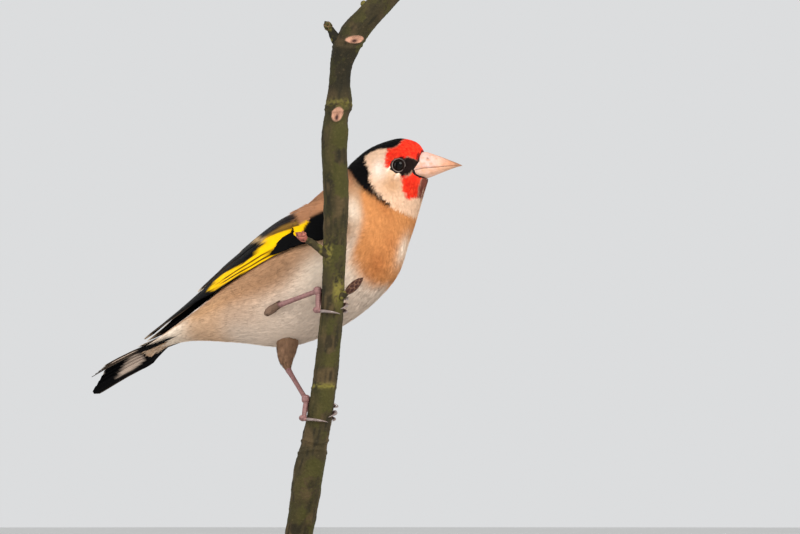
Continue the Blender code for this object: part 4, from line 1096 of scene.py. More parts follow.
def build_wing(name, side, material):
    surface = WingSurface(side)
    draw = np.random.default_rng(SEED + 3)
    blocks = []
    for row, (count, first, last, width, heights, tilt, shape) in WING_ROWS.items():
        for i in range(count):
            share = i / (count - 1)
            place = [a + (b - a) * share for a, b in zip(first, last)]
            tip_u = place[2] + draw.uniform(-0.006, 0.006)
            height = heights[0] + (heights[1] - heights[0]) * share
            wide = width * draw.uniform(0.95, 1.05)
            blocks.append(
                vane(surface, place[0:2], (tip_u, place[3]), wide, height, tilt, shape, wing_tint(row, surface),
                     draw, metric=surface.chord, curve=1.6 if row == "primaries" else 1.0)
            )
    points, faces, colours, uv = join_blocks(blocks)
    if side > 0:
        faces = [block[:, ::-1] for block in faces]
    wing = add_mesh(name, points, faces, colours, uv, uv_name="Vane", material=material)
    PIECES.append(wing)
    return wing


# The white patch of each half of the tail, painted grey-buff as white in shade, in millimetres from its root and from
# its middle.
TAIL_PATCH = (
    (8.6, 1.0), (10.0, 0.8), (12.0, 1.2), (13.5, 1.9), (15.5, 3.1), (17.5, 4.3), (17.8, 5.1), (12.5, 5.0), (9.4, 4.4),
    (8.0, 3.0),
)


def build_tail(material):
    surface = TailSurface()
    draw = np.random.default_rng(SEED + 5)
    blocks = []
    for side in (-1, 1):
        for i in range(TAIL_PAIRS):
            share = i / (TAIL_PAIRS - 1)
            reach = TAIL_LENGTH[1] - TAIL_LENGTH[0] + side * TAIL_SKEW
            length = TAIL_LENGTH[0] + reach * share**1.4
            tip_across = side * (TAIL_SPREAD[0] + (TAIL_SPREAD[1] - TAIL_SPREAD[0]) * share)
            root_across = side * (TAIL_ROOT_SPREAD[0] + (TAIL_ROOT_SPREAD[1] - TAIL_ROOT_SPREAD[0]) * share)
            height = -TAIL_STEP * (i + (0.33 if side > 0 else 0.0))

            def tint(p, q, along, edge, i=i, side=side):
                inward = -edge * side
                colours = np.tile(BLACK, (len(p), 1))
                spot = inside(p, np.abs(q), TAIL_PATCH, 0.3)
                if side < 0:
                    spot = spot * ramp(np.abs(q), 3.4, 4.0)
                # The white patch is painted grey-buff: white in painted shade.
                colours = paint(colours, TAIL_WHITE_IN_SHADE, spot)
                if i < 3:
                    colours = paint(colours, WHITE, ramp(along, 0.95, 0.985) * 0.8)
                rim = ramp(inward, -0.88, -0.98) * ramp(along, 0.2, 0.4) * (1.0 - spot)
                return paint(colours, VANE_BROWN, rim * 0.5)

            # The fan's own curve is followed by a few straight stretches.
            blocks.append(
                tail_vane(surface, root_across, (length, tip_across), 3.0 + 5.5 * share, height, tint, draw)
            )
    points, faces, colours, uv = join_blocks(blocks)
    faces = [block[:, ::-1] for block in faces]
    tail = add_mesh("tail_feathers", points, faces, colours, uv, uv_name="Vane", material=material)
    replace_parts(tail, "tail")
    PIECES.append(tail)


def tail_vane(surface, root_across, tip, ahead, height, tint, draw, rows=22):
    """A tail feather. Its root reaches some millimetres ahead, under the coverts."""
    run = tip[0] - TAIL_ROOT_RUN
    share, edge = np.meshgrid(np.linspace(-ahead / run, 1.0, rows), VANE_COLUMNS, indexing="ij")
    share, edge = share.ravel(), edge.ravel()
    p = TAIL_ROOT_RUN + run * share
    outer = abs(root_across) / TAIL_ROOT_SPREAD[1]
    half = 0.5 * TAIL_WIDTH * vane_width(np.maximum(share, 0.0), 0.55 + 0.4 * outer**3, 0.86, 0.25, 3.0)
    half = half * (0.9 + 0.1 * ramp(share, -0.3, 0.0))
    middle = root_across + (tip[1] - root_across) * np.maximum(share, 0.0) ** TAIL_FAN
    q = middle * (1.0 + (0.35 - 0.2 * outer) * np.minimum(share, 0.0)) + edge * half
    share = np.maximum(share, 0.0)
    outward = np.sign(tip[1])
    lift = height + 0.18 * (edge * outward < 0) * np.abs(edge) + 0.12 * (1.0 - edge**2)
    deep = 0.14 * (1.0 - 0.6 * share) + 0.03
    shaft = 0.06 * (np.abs(edge) < 0.01)
    top = surface.point(p, q, lift + shaft)
    low = surface.point(p, q, lift - deep - shaft)
    points, faces = closed_sheet(top, low, rows, len(VANE_COLUMNS))
    colours = tint(p, q, share, edge)
    uv = np.stack([share * run, edge * half], 1)
    return points, faces, np.vstack([colours, colours]), np.vstack([uv, uv])


def build_tail_coverts(material):
    """Small feathers over and under the roots of the tail."""
    surface = TailSurface()
    draw = np.random.default_rng(SEED + 29)
    blocks = []
    for under, count, reach, wide in ((True, 150, 5.0, 2.7), (False, 110, 5.4, 2.9)):
        p = draw.uniform(-4.5, 3.2, count)
        q = draw.uniform(-wide, wide, count) * np.interp(p, (-4.5, 3.2), (1.0, 0.75))
        length = draw.uniform(0.85, 1.1, count) * reach
        width = draw.uniform(1.6, 2.2, count)
        if under:
            lifts = (-0.9 - 0.15 * np.abs(q), -1.35 - 0.22 * np.abs(q) + draw.uniform(-0.15, 0.1, count))
            tips = paint(np.tile(CREAM, (count, 1)), BUFF, draw.uniform(0.4, 0.9, count)) * 0.9
        else:
            lifts = (0.25 + 0.0 * p, 0.75 + draw.uniform(-0.1, 0.1, count))
            tips = paint(np.tile(CREAM, (count, 1)), FLANK, draw.uniform(0.0, 0.5, count))

        def uv_at(at_p, at_q, under=under):
            return np.stack([(at_p + 5.0) / 20.0 + (0.5 if under else 0.0), (at_q + 5.0) / 10.0], 1)

        # Roots at 0.85 of the tips' colour: painted shade deep in the coat.
        *block, facing = fans(surface, (p, q), (length, width), lifts, draw.normal(0.0, 0.06, count), tips * 0.85, tips,
                              uv_at, draw)
        blocks.append((*block, -facing if under else facing))
    piece = add_mesh("coat_tail_base", *join_blocks(blocks), material=material)
    PIECES.append(piece)


def cloud(points, size, seed):
    """Smooth random values from 0 to 1 at points, with lumps of about the given size."""
    lattice = np.random.default_rng(seed).random((32, 32, 32))
    spots = np.asarray(points, dtype=float) / np.asarray(size, dtype=float)
    base = np.floor(spots).astype(int)
    share = spots - base
    share = share * share * (3.0 - 2.0 * share)
    total = np.zeros(len(spots))
    for i in (0, 1):
        for j in (0, 1):
            for k in (0, 1):
                weight = np.ones(len(spots))
                for axis, step in enumerate((i, j, k)):
                    weight = weight * (share[:, axis] if step else 1.0 - share[:, axis])
                at = (base + np.array((i, j, k))) % 32
                total += weight * lattice[at[:, 0], at[:, 1], at[:, 2]]
    return total


def even_path(path, radii, count):
    """A smooth path and its radii, at evenly spaced places."""
    rows = np.column_stack([np.asarray(path, dtype=float), np.asarray(radii, dtype=float)])
    fine = rows_at(rows, np.linspace(0.0, len(rows) - 1, 40 * len(rows)))
    steps = np.concatenate([[0.0], np.cumsum(np.linalg.norm(np.diff(fine[:, 0:3], axis=0), axis=1))])
    at = np.linspace(0.0, steps[-1], count)
    out = np.column_stack([np.interp(at, steps, fine[:, c]) for c in range(4)])
    return out[:, 0:3], out[:, 3], at


def tube(path, reach, sides, start=(0.0, 1.0, 0.0)):
    """A closed tube. reach is its radius at each ring, or at each ring and side."""
    count = len(path)
    way = np.gradient(path, axis=0)
    way = unit(way)
    first = np.zeros_like(path)
    side = np.asarray(start, dtype=float)
    if abs(side.dot(way[0])) > 0.95:
        side = np.roll(side, 1)
    for k in range(count):
        side = side - way[k] * side.dot(way[k])
        side = side / np.linalg.norm(side)
        first[k] = side
    second = np.cross(way, first)
    angle = np.linspace(0.0, 2 * math.pi, sides, endpoint=False)
    reach = np.broadcast_to(np.asarray(reach, dtype=float).reshape(count, -1), (count, sides))
    out = first[:, None, :] * np.cos(angle)[None, :, None] + second[:, None, :] * np.sin(angle)[None, :, None]
    points = (path[:, None, :] + out * reach[:, :, None]).reshape(-1, 3)
    index = np.arange(count * sides).reshape(count, sides)
    after = np.roll(index, -1, axis=1)
    quads = np.stack([index[:-1], after[:-1], after[1:], index[1:]], 2).reshape(-1, 4)
    return points, [quads, index[0, ::-1][None, :], index[-1][None, :]]


def round_ends(reach, at, radius_start, radius_end):
    """Rounds a tube's ends off."""
    total = at[-1]
    start = np.sqrt(np.clip(1.0 - (1.0 - np.clip(at / radius_start, 0.0, 1.0)) ** 2, 0.0025, 1.0))
    end = np.sqrt(np.clip(1.0 - (1.0 - np.clip((total - at) / radius_end, 0.0, 1.0)) ** 2, 0.0025, 1.0))
    return reach * (start * end)


def lathe(profile, count, centre, out, up=(0.0, 0.0, 1.0)):
    """A ring or cap from (radius, distance out) pairs round an axis, closed if it ends where it began."""
    out = np.asarray(out, dtype=float)
    out = out / np.linalg.norm(out)
    side = np.cross(np.asarray(up, dtype=float), out)
    side = side / np.linalg.norm(side)
    high = np.cross(out, side)
    profile = np.asarray(profile, dtype=float)
    angle = np.linspace(0.0, 2 * math.pi, count, endpoint=False)
    ring = side[None, :] * np.cos(angle)[:, None] + high[None, :] * np.sin(angle)[:, None]
    points = centre + ring[:, None, :] * profile[None, :, 0, None] + out * profile[None, :, 1, None]
    points = points.reshape(-1, 3)
    steps = len(profile)
    index = np.arange(count * steps).reshape(count, steps)
    after = np.roll(index, -1, axis=0)
    down = np.roll(index, -1, axis=1)
    down_after = np.roll(after, -1, axis=1)
    quads = np.stack([index, down, down_after, after], 2).reshape(-1, 4)
    return points, [quads], np.repeat(angle, steps)


EYE_DETAIL = 40
EYE_OPENING = 1.78


def build_eye(name, side, material):
    """An eyeball with a black pupil in a dark brown iris."""
    centre = eye_point(side)
    out = eye_point(side, 1.0) - centre
    high = np.linspace(-math.pi / 2, math.pi / 2, EYE_DETAIL)
    radius = EYE_RADIUS * 0.985
    profile = [(max(radius * math.cos(a), 0.003), radius * math.sin(a)) for a in high]
    points, faces, _ = lathe(profile, EYE_DETAIL, centre, out)
    depth = (points - centre) @ (out / np.linalg.norm(out))
    off = np.sqrt(np.maximum(np.sum((points - centre) ** 2, axis=1) - depth**2, 0.0))
    colours = np.tile(srgb(20, 12, 9), (len(points), 1))
    colours = paint(colours, srgb(3, 3, 3), ramp(off, 1.15, 1.0))
    colours = paint(colours, srgb(12, 8, 7), ramp(off, 1.5, 1.75))
    eye = add_mesh(name, points, faces, colours, material=material)
    PIECES.append(eye)
    return eye


# The lids in section: distance from the eye's axis and distance out from its centre.
LIDS = (
    (EYE_OPENING, 1.30), (EYE_OPENING - 0.03, 1.44), (EYE_OPENING + 0.04, 1.60), (EYE_OPENING + 0.16, 1.68),
    (EYE_OPENING + 0.30, 1.62), (EYE_OPENING + 0.50, 1.40), (EYE_OPENING + 0.80, 1.02), (EYE_OPENING + 1.2, 0.55),
    (EYE_OPENING + 1.0, 0.30), (EYE_OPENING + 0.5, 0.90),
)


def build_lids(side, material):
    centre = eye_point(side)
    out = eye_point(side, 1.0) - centre
    profile = list(LIDS)
    points, faces, angle = lathe(profile, 96, centre, out)
    step = np.tile(np.arange(len(profile)), 96)
    beads = (0.020 * np.sin(angle * 31.0) + 0.015 * np.sin(angle * 23.0)) * np.isin(step, (2, 3, 4))
    radial = points - centre
    points = points + unit(radial) * beads[:, None]
    x, z = unlean(points)
    colours = head_marks(np.tile(CHEEK, (len(points), 1)), x, z)
    middle = lean_head(EYE_CENTRE)[0]
    low_rear = (middle[2] - points[:, 2]) * 0.7 + (middle[0] - points[:, 0]) * 0.7
    colours = paint(colours, BLACK, 0.35 + 0.45 * ramp(low_rear, -1.2, 0.6))
    broken = (0.35 + 0.65 * ramp(cloud(points, 0.7, 5), 0.3, 0.6)) * (0.25 + 0.75 * ramp(low_rear, -0.9, 0.5))
    colours = paint(colours, srgb(122, 108, 102), np.isin(step, (2, 3)) * broken * 0.9)
    lids = add_mesh("lids_right" if side < 0 else "lids_left", points, faces, colours, material=material)
    PIECES.append(lids)


def unlean(points):
    """The side view's x and z of points of the leaning head."""
    y = points[:, 1]
    rise = points[:, 2] - HEAD_AXIS_Z
    return points[:, 0], HEAD_AXIS_Z + rise * math.cos(HEAD_LEAN) - y * math.sin(HEAD_LEAN)


# Sections ahead of and behind the CAD bill's own base; the rear ones widen into the cheeks.
BILL_LOOK = (
    (34.6, 33.4, 29.2, 27.6, 6.2),
    (36.2, 34.9, 29.7, 27.2, 5.5),
    (37.9, 35.2, 30.1, 27.3, 4.35),
    (39.6, 34.75, 30.3, 27.75, 3.3),
    (42.2, 33.85, 30.5, 28.7, 2.35),
    (45.3, 32.6, 30.75, 29.8, 1.4),
    (47.6, 31.65, 30.85, 30.5, 0.7),
    (48.8, 31.1, 30.9, 30.75, 0.28),
    (49.1, 30.95, 30.88, 30.82, 0.08),
)
BILL_ROWS = 70
BILL_ARC = 25


def build_bill(name, upper, material):
    """One mandible: an arched section over a flat mouth side, with a faint groove along it."""
    t = np.linspace(0.0, len(BILL_LOOK) - 1, BILL_ROWS)
    rows = rows_at(BILL_LOOK, t)
    x, ridge, mouth, lower, wide = rows.T
    gap = 0.025
    flat = mouth + (gap if upper else -gap)
    far = np.maximum(ridge, flat + 0.05) if upper else np.minimum(lower, flat - 0.05)
    angle = np.linspace(0.0, math.pi, BILL_ARC)
    across = np.sign(np.cos(angle)) * np.abs(np.cos(angle)) ** 0.9
    high = np.sin(angle) ** (0.95 if upper else 0.85)
    spread = wide * (1.0 if upper else 0.93)
    y = spread[:, None] * across[None, :]
    # The edge of the mouth overhangs a little.
    # The section runs from the flat mouth side to the ridge, or to the lower mandible's underside.
    z = flat[:, None] + (far - flat)[:, None] * high[None, :]
    points = np.stack([np.broadcast_to(x[:, None], y.shape), y, z], 2)
    if upper:
        for side in (-1, 1):
            reach = np.hypot((points[:, :, 0] - NOSTRIL[0] + 0.6) / 0.5, (points[:, :, 2] - NOSTRIL[1] + 0.5) / 0.33)
            pit = np.exp(-(reach**2)) * (np.sign(points[:, :, 1]) == side)
            points[:, :, 1] -= side * 0.45 * pit
    floor = np.linspace(1.0, -1.0, 7)[1:-1]
    under = np.stack([np.broadcast_to(x[:, None], (BILL_ROWS, 5)), -spread[:, None] * floor[None, :],
                      np.broadcast_to(flat[:, None], (BILL_ROWS, 5))], 2)
    full = np.concatenate([points, under], 1)
    sides = full.shape[1]
    flat_points = lean_head(full.reshape(-1, 3))
    index = np.arange(BILL_ROWS * sides).reshape(BILL_ROWS, sides)
    after = np.roll(index, -1, axis=1)
    quads = np.stack([index[:-1], after[:-1], after[1:], index[1:]], 2).reshape(-1, 4)
    faces = [quads, index[0, ::-1][None, :], index[-1][None, :]]
    if not upper:
        faces = [block[:, ::-1] for block in faces]
    local = full.reshape(-1, 3)
    colours = np.tile(HORN, (len(local), 1))
    along = local[:, 0]
    ridge_share = np.repeat(np.concatenate([np.sin(angle), np.zeros(5)])[None, :], BILL_ROWS, 0).ravel()
    streak = cloud(local * np.array([0.25, 1.0, 1.0]), 0.5, 11)
    colours = paint(colours, srgb(214, 156, 118), ramp(along, 39.0, 45.0) * 0.6)
    colours = paint(colours, HORN_DARK, ramp(along, 42.0, 47.8) * 0.9)
    colours = paint(colours, HORN_DARK, ramp(ridge_share, 0.90, 1.0) * ramp(along, 39.0, 43.0) * (0.6 if upper else 0.3))
    colours = paint(colours, srgb(196, 134, 98), ramp(streak, 0.45, 0.75) * 0.6)
    colours = paint(colours, srgb(206, 160, 128), np.full(len(local), 0.0 if upper else 0.5))
    if upper:
        # Painted shade: the dark inside the nostril's pit.
        reach = np.hypot((local[:, 0] - NOSTRIL[0] + 0.6) / 0.42, (local[:, 2] - NOSTRIL[1] + 0.5) / 0.26)
        colours = paint(colours, srgb(60, 34, 28), np.exp(-(reach**4)))
    piece = add_mesh(name, flat_points, faces, colours, material=material)
    PIECES.append(piece)
    return piece


# Legs in the model's frame: each thigh's path and radii, where its shank starts, the height of
# the foot on the twig and the angle round the twig where the foot sits.
LEGS = {
    "right": {
        "thigh": ((-9.5, -4.5, 95.4), (-8.0, -7.0, 96.3), (-6.2, -9.2, 97.3)),
        "thigh_radii": (1.7, 1.35, 0.95),
        "foot_z": 101.3,
        "foot_angle": 172.0,
    },
    "left": {
        "thigh": ((-3.2, 4.2, 90.5), (-3.8, 2.6, 84.8), (-3.9, 2.0, 81.8), (-3.3, 1.5, 79.0)),
        "thigh_radii": (3.8, 3.1, 2.3, 1.05),
        "foot_z": 69.9,
        "foot_angle": 172.0,
    },
}
TARSUS_RADII = (0.98, 0.74, 0.70, 0.84)
PAD_RADIUS = 1.2
PAD_CLEAR = 1.05
TOE_RADIUS = 0.62
TWIG_LEAN = 1.02
SKIN_GAP = 0.16
# Toes: height change from the foot, end angle of the toe, end angle of its claw, the claw's drop,
# how many points the toe has and over what share of it the height changes.
TOES = {
    "inner": (-1.9, 28.0, -24.0, -0.8, 7, 0.6),
    "middle": (-3.9, 14.0, -50.0, -1.6, 7, 0.6),
    "outer": (-5.6, 30.0, -16.0, -1.0, 7, 0.6),
    "hind": (-6.0, 222.0, 314.0, -0.9, 6, 0.9),
}


def twig_at(z):
    """The twig's axis and radius at heights z."""
    table = rows_at(TWIG, np.linspace(0.0, len(TWIG) - 1, 400))
    return np.column_stack([np.interp(z, table[:, 2], table[:, c]) for c in (0, 1, 3)])


def on_twig(z, degrees, clear):
    """Points beside the twig: at heights, angles round it (0 is +X, 90 is +Y) and a distance."""
    z = np.atleast_1d(np.asarray(z, dtype=float))
    axis = twig_at(z)
    angle = np.radians(np.broadcast_to(degrees, z.shape))
    reach = axis[:, 2] * TWIG_LEAN + clear
    return np.stack([axis[:, 0] + reach * np.cos(angle), axis[:, 1] + reach * np.sin(angle), z], 1)


def scutes(at, sides, pitch, depth):
    """Overlapping scales along the front of a toe or shank, as a change of its radius."""
    angle = np.linspace(0.0, 2 * math.pi, sides, endpoint=False)
    front = 0.5 + 0.5 * np.cos(angle)
    saw = (at / pitch) % 1.0
    step = np.where(saw < 0.86, saw / 0.86, 1.0 - (saw - 0.86) / 0.14)
    return depth * (step[:, None] - 0.5) * front[None, :]


def limb_piece(name, path, radii, material, pitch, tints, rings=90, sides=24, ends=(0.8, 0.8), depth=0.07):
    path, radii, at = even_path(path, radii, rings)
    reach = round_ends(radii, at, *ends)[:, None] + scutes(at, sides, pitch, depth) * np.minimum(radii, 1.0)[:, None]
    reach = np.maximum(reach, 0.03)
    points, faces = tube(path, reach, sides, (0.1, -0.9, 0.3))
    saw = (at / pitch) % 1.0
    line = np.repeat(ramp(np.abs(saw - 0.93), 0.13, 0.03)[:, None], sides, 1).ravel()
    colours = np.tile(tints[0], (len(points), 1))
    colours = paint(colours, tints[1], line * 0.45)
    colours = paint(colours, tints[1], ramp(cloud(points, 0.8, 21), 0.45, 0.8) * 0.5)
    piece = add_mesh(name, points, faces, colours, material=material, in_bird=False)
    PIECES.append(piece)
    return piece


def join_tubes(parts):
    points, faces, colours, offset = [], [], [], 0
    for part_points, part_faces, part_colours in parts:
        points.append(part_points)
        colours.append(part_colours)
        faces += [face + offset for face in part_faces]
        offset += len(part_points)
    return np.vstack(points), faces, np.vstack(colours)


def toe_tube(path, radii, pitch, tints, rings=60, sides=20):
    path, radii, at = even_path(path, radii, rings)
    reach = round_ends(radii, at, 0.6, 0.6)[:, None] + scutes(at, sides, pitch, 0.06) * np.minimum(radii, 1.0)[:, None]
    points, faces = tube(path, np.maximum(reach, 0.03), sides, (0.0, 0.0, 1.0))
    saw = (at / pitch) % 1.0
    line = np.repeat(ramp(np.abs(saw - 0.93), 0.13, 0.03)[:, None], sides, 1).ravel()
    colours = paint(np.tile(tints[0], (len(points), 1)), tints[1], line * 0.4)
    colours = paint(colours, tints[1], ramp(cloud(points, 0.8, 22), 0.45, 0.8) * 0.4)
    return points, faces, colours


def build_leg(side, leg, skin, horn):
    tints = (LEG_PINK, LEG_DARK)
    base = on_twig(leg["foot_z"], leg["foot_angle"], SKIN_GAP + PAD_CLEAR)[0]
    ankle = np.asarray(leg["thigh"][-1], dtype=float)
    way = (base - ankle) / np.linalg.norm(base - ankle)
    path = [ankle - way * 0.3, ankle + (base - ankle) * 0.25, ankle + (base - ankle) * 0.8, base - way * 0.2]
    tarsus = limb_piece(f"shank_{side}", path, TARSUS_RADII, skin, 1.15, tints)
    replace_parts(tarsus, f"tarsus_{side}")
    parts = []
    pad = [base + np.array([0.0, 0.0, 1.3]), base, base - np.array([0.0, 0.0, 1.3])]
    parts.append(toe_tube(pad, (1.05, 1.25, 1.05), 1.0, tints))
    knuckle = on_twig(leg["foot_z"] - 5.6, 196.0, SKIN_GAP + 1.0)[0]
    ball = [knuckle + np.array([0.0, 0.0, 1.0]), knuckle, knuckle - np.array([0.0, 0.0, 1.0])]
    parts.append(toe_tube(ball, (0.75, 1.15, 0.75), 1.2, tints))
    for name, (rise, end, claw_end, drop, count, settle) in TOES.items():
        share = np.linspace(0.0, 1.0, count)
        z = leg["foot_z"] + rise * np.sin(0.5 * math.pi * np.minimum(share / settle, 1.0))
        angles = leg["foot_angle"] + (end - leg["foot_angle"]) * share
        radii = TOE_RADIUS + 0.14 * np.cos(np.arange(count) * math.pi * 0.9) ** 2
        path = on_twig(z, angles, SKIN_GAP + radii.max())
        parts.append(toe_tube(path, radii, 0.75, tints))
        turn = 1.0 if claw_end > end else -1.0
        share = np.linspace(0.0, 1.0, 7)
        claw_angles = end - turn * 4.0 + (claw_end - end + turn * 4.0) * share
        z = leg["foot_z"] + rise + drop * share**1.5
        arch = 0.22 * np.sin(math.pi * share)
        claw_radii = np.interp(share, (0.0, 0.5, 1.0), (0.50, 0.38, 0.05))
        path = on_twig(z, claw_angles, SKIN_GAP + claw_radii * 0.9 + 0.12 + arch)
        points, faces, colours = toe_tube(path, claw_radii, 50.0, (CLAW_HORN, srgb(96, 84, 82)))
        claw = add_mesh(f"talon_{side}_{name}", points, faces, colours, material=horn, in_bird=False)
        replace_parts(claw, f"claw_{side}_{name}")
        PIECES.append(claw)
    points, faces, colours = join_tubes(parts)
    foot = add_mesh(f"toes_{side}", points, faces, colours, material=skin, in_bird=False)
    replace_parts(foot, f"foot_{side}")
    PIECES.append(foot)


def build_thigh(side, leg, skin, material):
    """A feathered thigh: a small skin of its own and a coat of fans over it."""
    draw = np.random.default_rng(SEED + 11)
    path, radii, at = even_path(leg["thigh"], leg["thigh_radii"], 30)
    reach = round_ends(np.maximum(radii - 0.5, 0.6), at, 1.0, 0.8)
    points, faces = tube(path, reach, 24)
    base = THIGH_BROWN_AND_SHADE[side]
    # The thigh's skin is painted at 0.7 of the coat's brown: painted shade under its feathers.
    colours = np.tile(base * 0.7, (len(points), 1))
    under = add_mesh(f"thigh_skin_{side}", points, faces, colours, np.zeros((len(points), 2)), material=skin,
                     in_bird=False)
    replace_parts(under, f"thigh_{side}")
    PIECES.append(under)
    surface = LimbSurface(path, np.maximum(radii - 0.5, 0.6))
    count = 420
    p = draw.uniform(0.0, 0.90, count)
    q = draw.uniform(0.0, 2 * math.pi, count)
    length = 4.2 - 2.2 * p
    width = 1.5 - 0.7 * p
    lifts = (np.full(count, -0.1), 0.45 + draw.uniform(-0.15, 0.15, count))
    tips = base * draw.uniform(0.85, 1.1, count)[:, None]

    def uv_at(at_p, at_q):
        return np.stack([at_q / (2 * math.pi), at_p], 1)

    # Roots are painted at 0.6 of the tips' colour: painted shade deep in the coat.
    block = fans(surface, (p, q), (length, width), lifts, draw.normal(0.0, 0.12, count), tips * 0.6, tips, uv_at, draw)
    piece = add_mesh(f"coat_thigh_{side}", *block, material=material, in_bird=False)
    PIECES.append(piece)


# The thighs' own brown, darkened as painted shade under the belly.
THIGH_BROWN_AND_SHADE = {"right": srgb(128, 104, 88), "left": srgb(132, 102, 80)}

# Bark: heights of the rings round old bud scars, and how far each swells.
BARK_RINGS = ((54.6, 0.28), (57.4, 0.30), (73.6, 0.18), (152.9, 0.35), (154.6, 0.30), (170.9, 0.30), (172.6, 0.25))
BARK_SCARS = ((151.6, -88.0, 1.9, 1.5), (172.8, -72.0, 1.0, 2.0))


def build_twig(material):
    draw = np.random.default_rng(SEED + 17)
    rings, sides = 620, 72
    table = np.asarray(TWIG)
    path, radii, at = even_path(table[:, 0:3], table[:, 3], rings)
    angle = np.linspace(0.0, 2 * math.pi, sides, endpoint=False)
    start = (1.0, 0.0, 0.0)
    flat, _ = tube(path, radii, sides, start)
    z = flat[:, 2]
    round_place = np.tile(angle, rings)
    out = flat - np.repeat(path, sides, 0)
    facing = np.degrees(np.arctan2(out[:, 1], out[:, 0]))
    stretched = np.stack([np.cos(round_place) * 3.4, np.sin(round_place) * 3.4, z * 0.22], 1)
    rough = 0.20 * (cloud(stretched, 0.55, 31) - 0.5) + 0.26 * (cloud(flat, 2.6, 32) - 0.5)
    rough = rough + 0.12 * (cloud(flat, 0.42, 33) - 0.5) + 0.10 * (cloud(flat * np.array([1, 1, 3.0]), 0.9, 34) - 0.5)
    for height, swell in BARK_RINGS:
        wave = height + 0.5 * np.sin(round_place * 2 + height)
        rough = rough + swell * np.exp(-(((z - wave) / 0.42) ** 2))
    scar_mask = np.zeros(len(z))
    scar_hollow_shade = np.zeros(len(z))
    for height, degrees, tall, wide in BARK_SCARS:
        off = (facing - degrees + 180.0) % 360.0 - 180.0
        sideways = np.radians(off) * 3.7
        reach = np.hypot(sideways / wide, (z - height) / tall)
        scar_mask = np.maximum(scar_mask, ramp(reach, 1.15, 0.95))
        scar_hollow_shade = np.maximum(scar_hollow_shade, np.exp(-(((sideways) / (0.42 * wide)) ** 2) - ((z - height + 0.5 * tall) / (0.5 * tall)) ** 2))
        rough = rough + 0.32 * np.exp(-(((reach - 1.05) / 0.22) ** 2)) - 0.55 * np.exp(-(reach / 0.6) ** 2)
    reach = (np.repeat(radii, sides) - 0.08 + rough).reshape(rings, sides)
    points, faces = tube(path, reach, sides, start)
    shade = cloud(flat, 3.2, 41)
    fine = cloud(flat, 0.5, 42)
    strands = cloud(stretched, 0.7, 43)
    colours = np.tile(BARK, (len(points), 1))
    colours = paint(colours, BARK_GREY, ramp(shade, 0.40, 0.75) * 0.65)
    colours = paint(colours, BARK_DARK, ramp(strands, 0.50, 0.75) * 0.7)
    colours = paint(colours, BARK_DARK, ramp(z, 157.0, 161.0) * ramp(z, 172.0, 169.0) * 0.75)
    colours = paint(colours, BARK_DARK, ramp(z, 116.0, 150.0) * 0.35)
    green = ramp(cloud(flat, 4.5, 44) + 0.25 * (fine - 0.5), 0.45, 0.65)
    on_right = ramp(np.cos(np.radians(facing + 40.0)), 0.1, 0.8)
    colours = paint(colours, ALGAE, green * (0.35 + 0.5 * on_right))
    band = np.exp(-(((z - 42.5) / 5.5) ** 2)) + np.exp(-(((z - 113.0) / 8.0) ** 2)) * on_right
    colours = paint(colours, ALGAE, np.clip(band, 0, 1) * ramp(fine, 0.3, 0.6) * 0.4)
    spots = np.exp(-(((z - 73.6) / 0.7) ** 2)) * ramp(np.cos(np.radians(facing + 95.0)), 0.2, 0.6)
    spots = spots + np.exp(-(((z - 112.5) / 3.2) ** 2)) * ramp(np.cos(np.radians(facing - 215.0)), 0.5, 0.9)
    spots = spots + np.exp(-(((z - 101.5) / 3.4) ** 2)) * ramp(np.cos(np.radians(facing + 50.0)), 0.6, 0.95)
    spots = spots + 0.6 * np.exp(-(((z - 155.0) / 1.0) ** 2))
    colours = paint(colours, LICHEN, np.clip(spots, 0, 1) * ramp(fine + 0.5 * shade, 0.50, 0.95) * 0.8)
    speck = ramp(cloud(flat, 0.36, 45), 0.80, 0.9)
    colours = paint(colours, srgb(130, 112, 80), speck * 0.12)
    colours = paint(colours, SCAR, scar_mask)
    # Painted shade: the dark in each scar's hollow, low in the scar.
    colours = paint(colours, srgb(46, 24, 24), np.clip(scar_hollow_shade * 1.2, 0, 1))
    parts = [(points, faces, colours)]
    parts += side_shoot(((9.4, -19.8, 111.6), (7.2, -20.5, 113.0), (4.6, -21.2, 114.8), (2.6, -21.5, 116.0)),
                        (1.75, 1.25, 1.0, 1.05), BARK, LICHEN, 51)
    parts += scaly_bud((2.9, -21.5, 115.7), (-0.5, -22.1, 118.0), 1.15, srgb(150, 84, 74), 3, draw)
    parts += scaly_bud((2.2, -22.1, 116.4), (1.6, -22.8, 118.4), 0.8, srgb(170, 100, 88), 2, draw)
    parts += side_shoot(((12.4, -17.8, 99.4), (13.8, -18.3, 100.2), (14.8, -18.6, 100.9)), (1.3, 1.0, 0.8), BARK, LICHEN, 52)
    parts += scaly_bud((14.2, -18.5, 100.4), (19.3, -19.8, 105.0), 1.25, BUD, 6, draw)
    parts += side_shoot(((13.0, -31.0, 171.6), (10.9, -31.4, 174.4), (9.6, -31.7, 176.8)), (2.0, 1.45, 0.95), BARK_DARK,
                        LICHEN, 53)
    parts += scaly_bud((9.9, -31.7, 176.0), (8.2, -31.9, 178.6), 1.2, srgb(60, 56, 26), 3, draw)
    parts += side_shoot(((20.8, -33.0, 181.5), (19.6, -33.2, 183.3), (19.4, -33.2, 184.4)), (1.4, 1.0, 0.6), BARK, LICHEN, 54)
    points, faces, colours = join_tubes(parts)
    twig = add_mesh("bark_twig", points, faces, colours, material=material, in_bird=False)
    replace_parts(twig, "perch_twig")
    PIECES.append(twig)


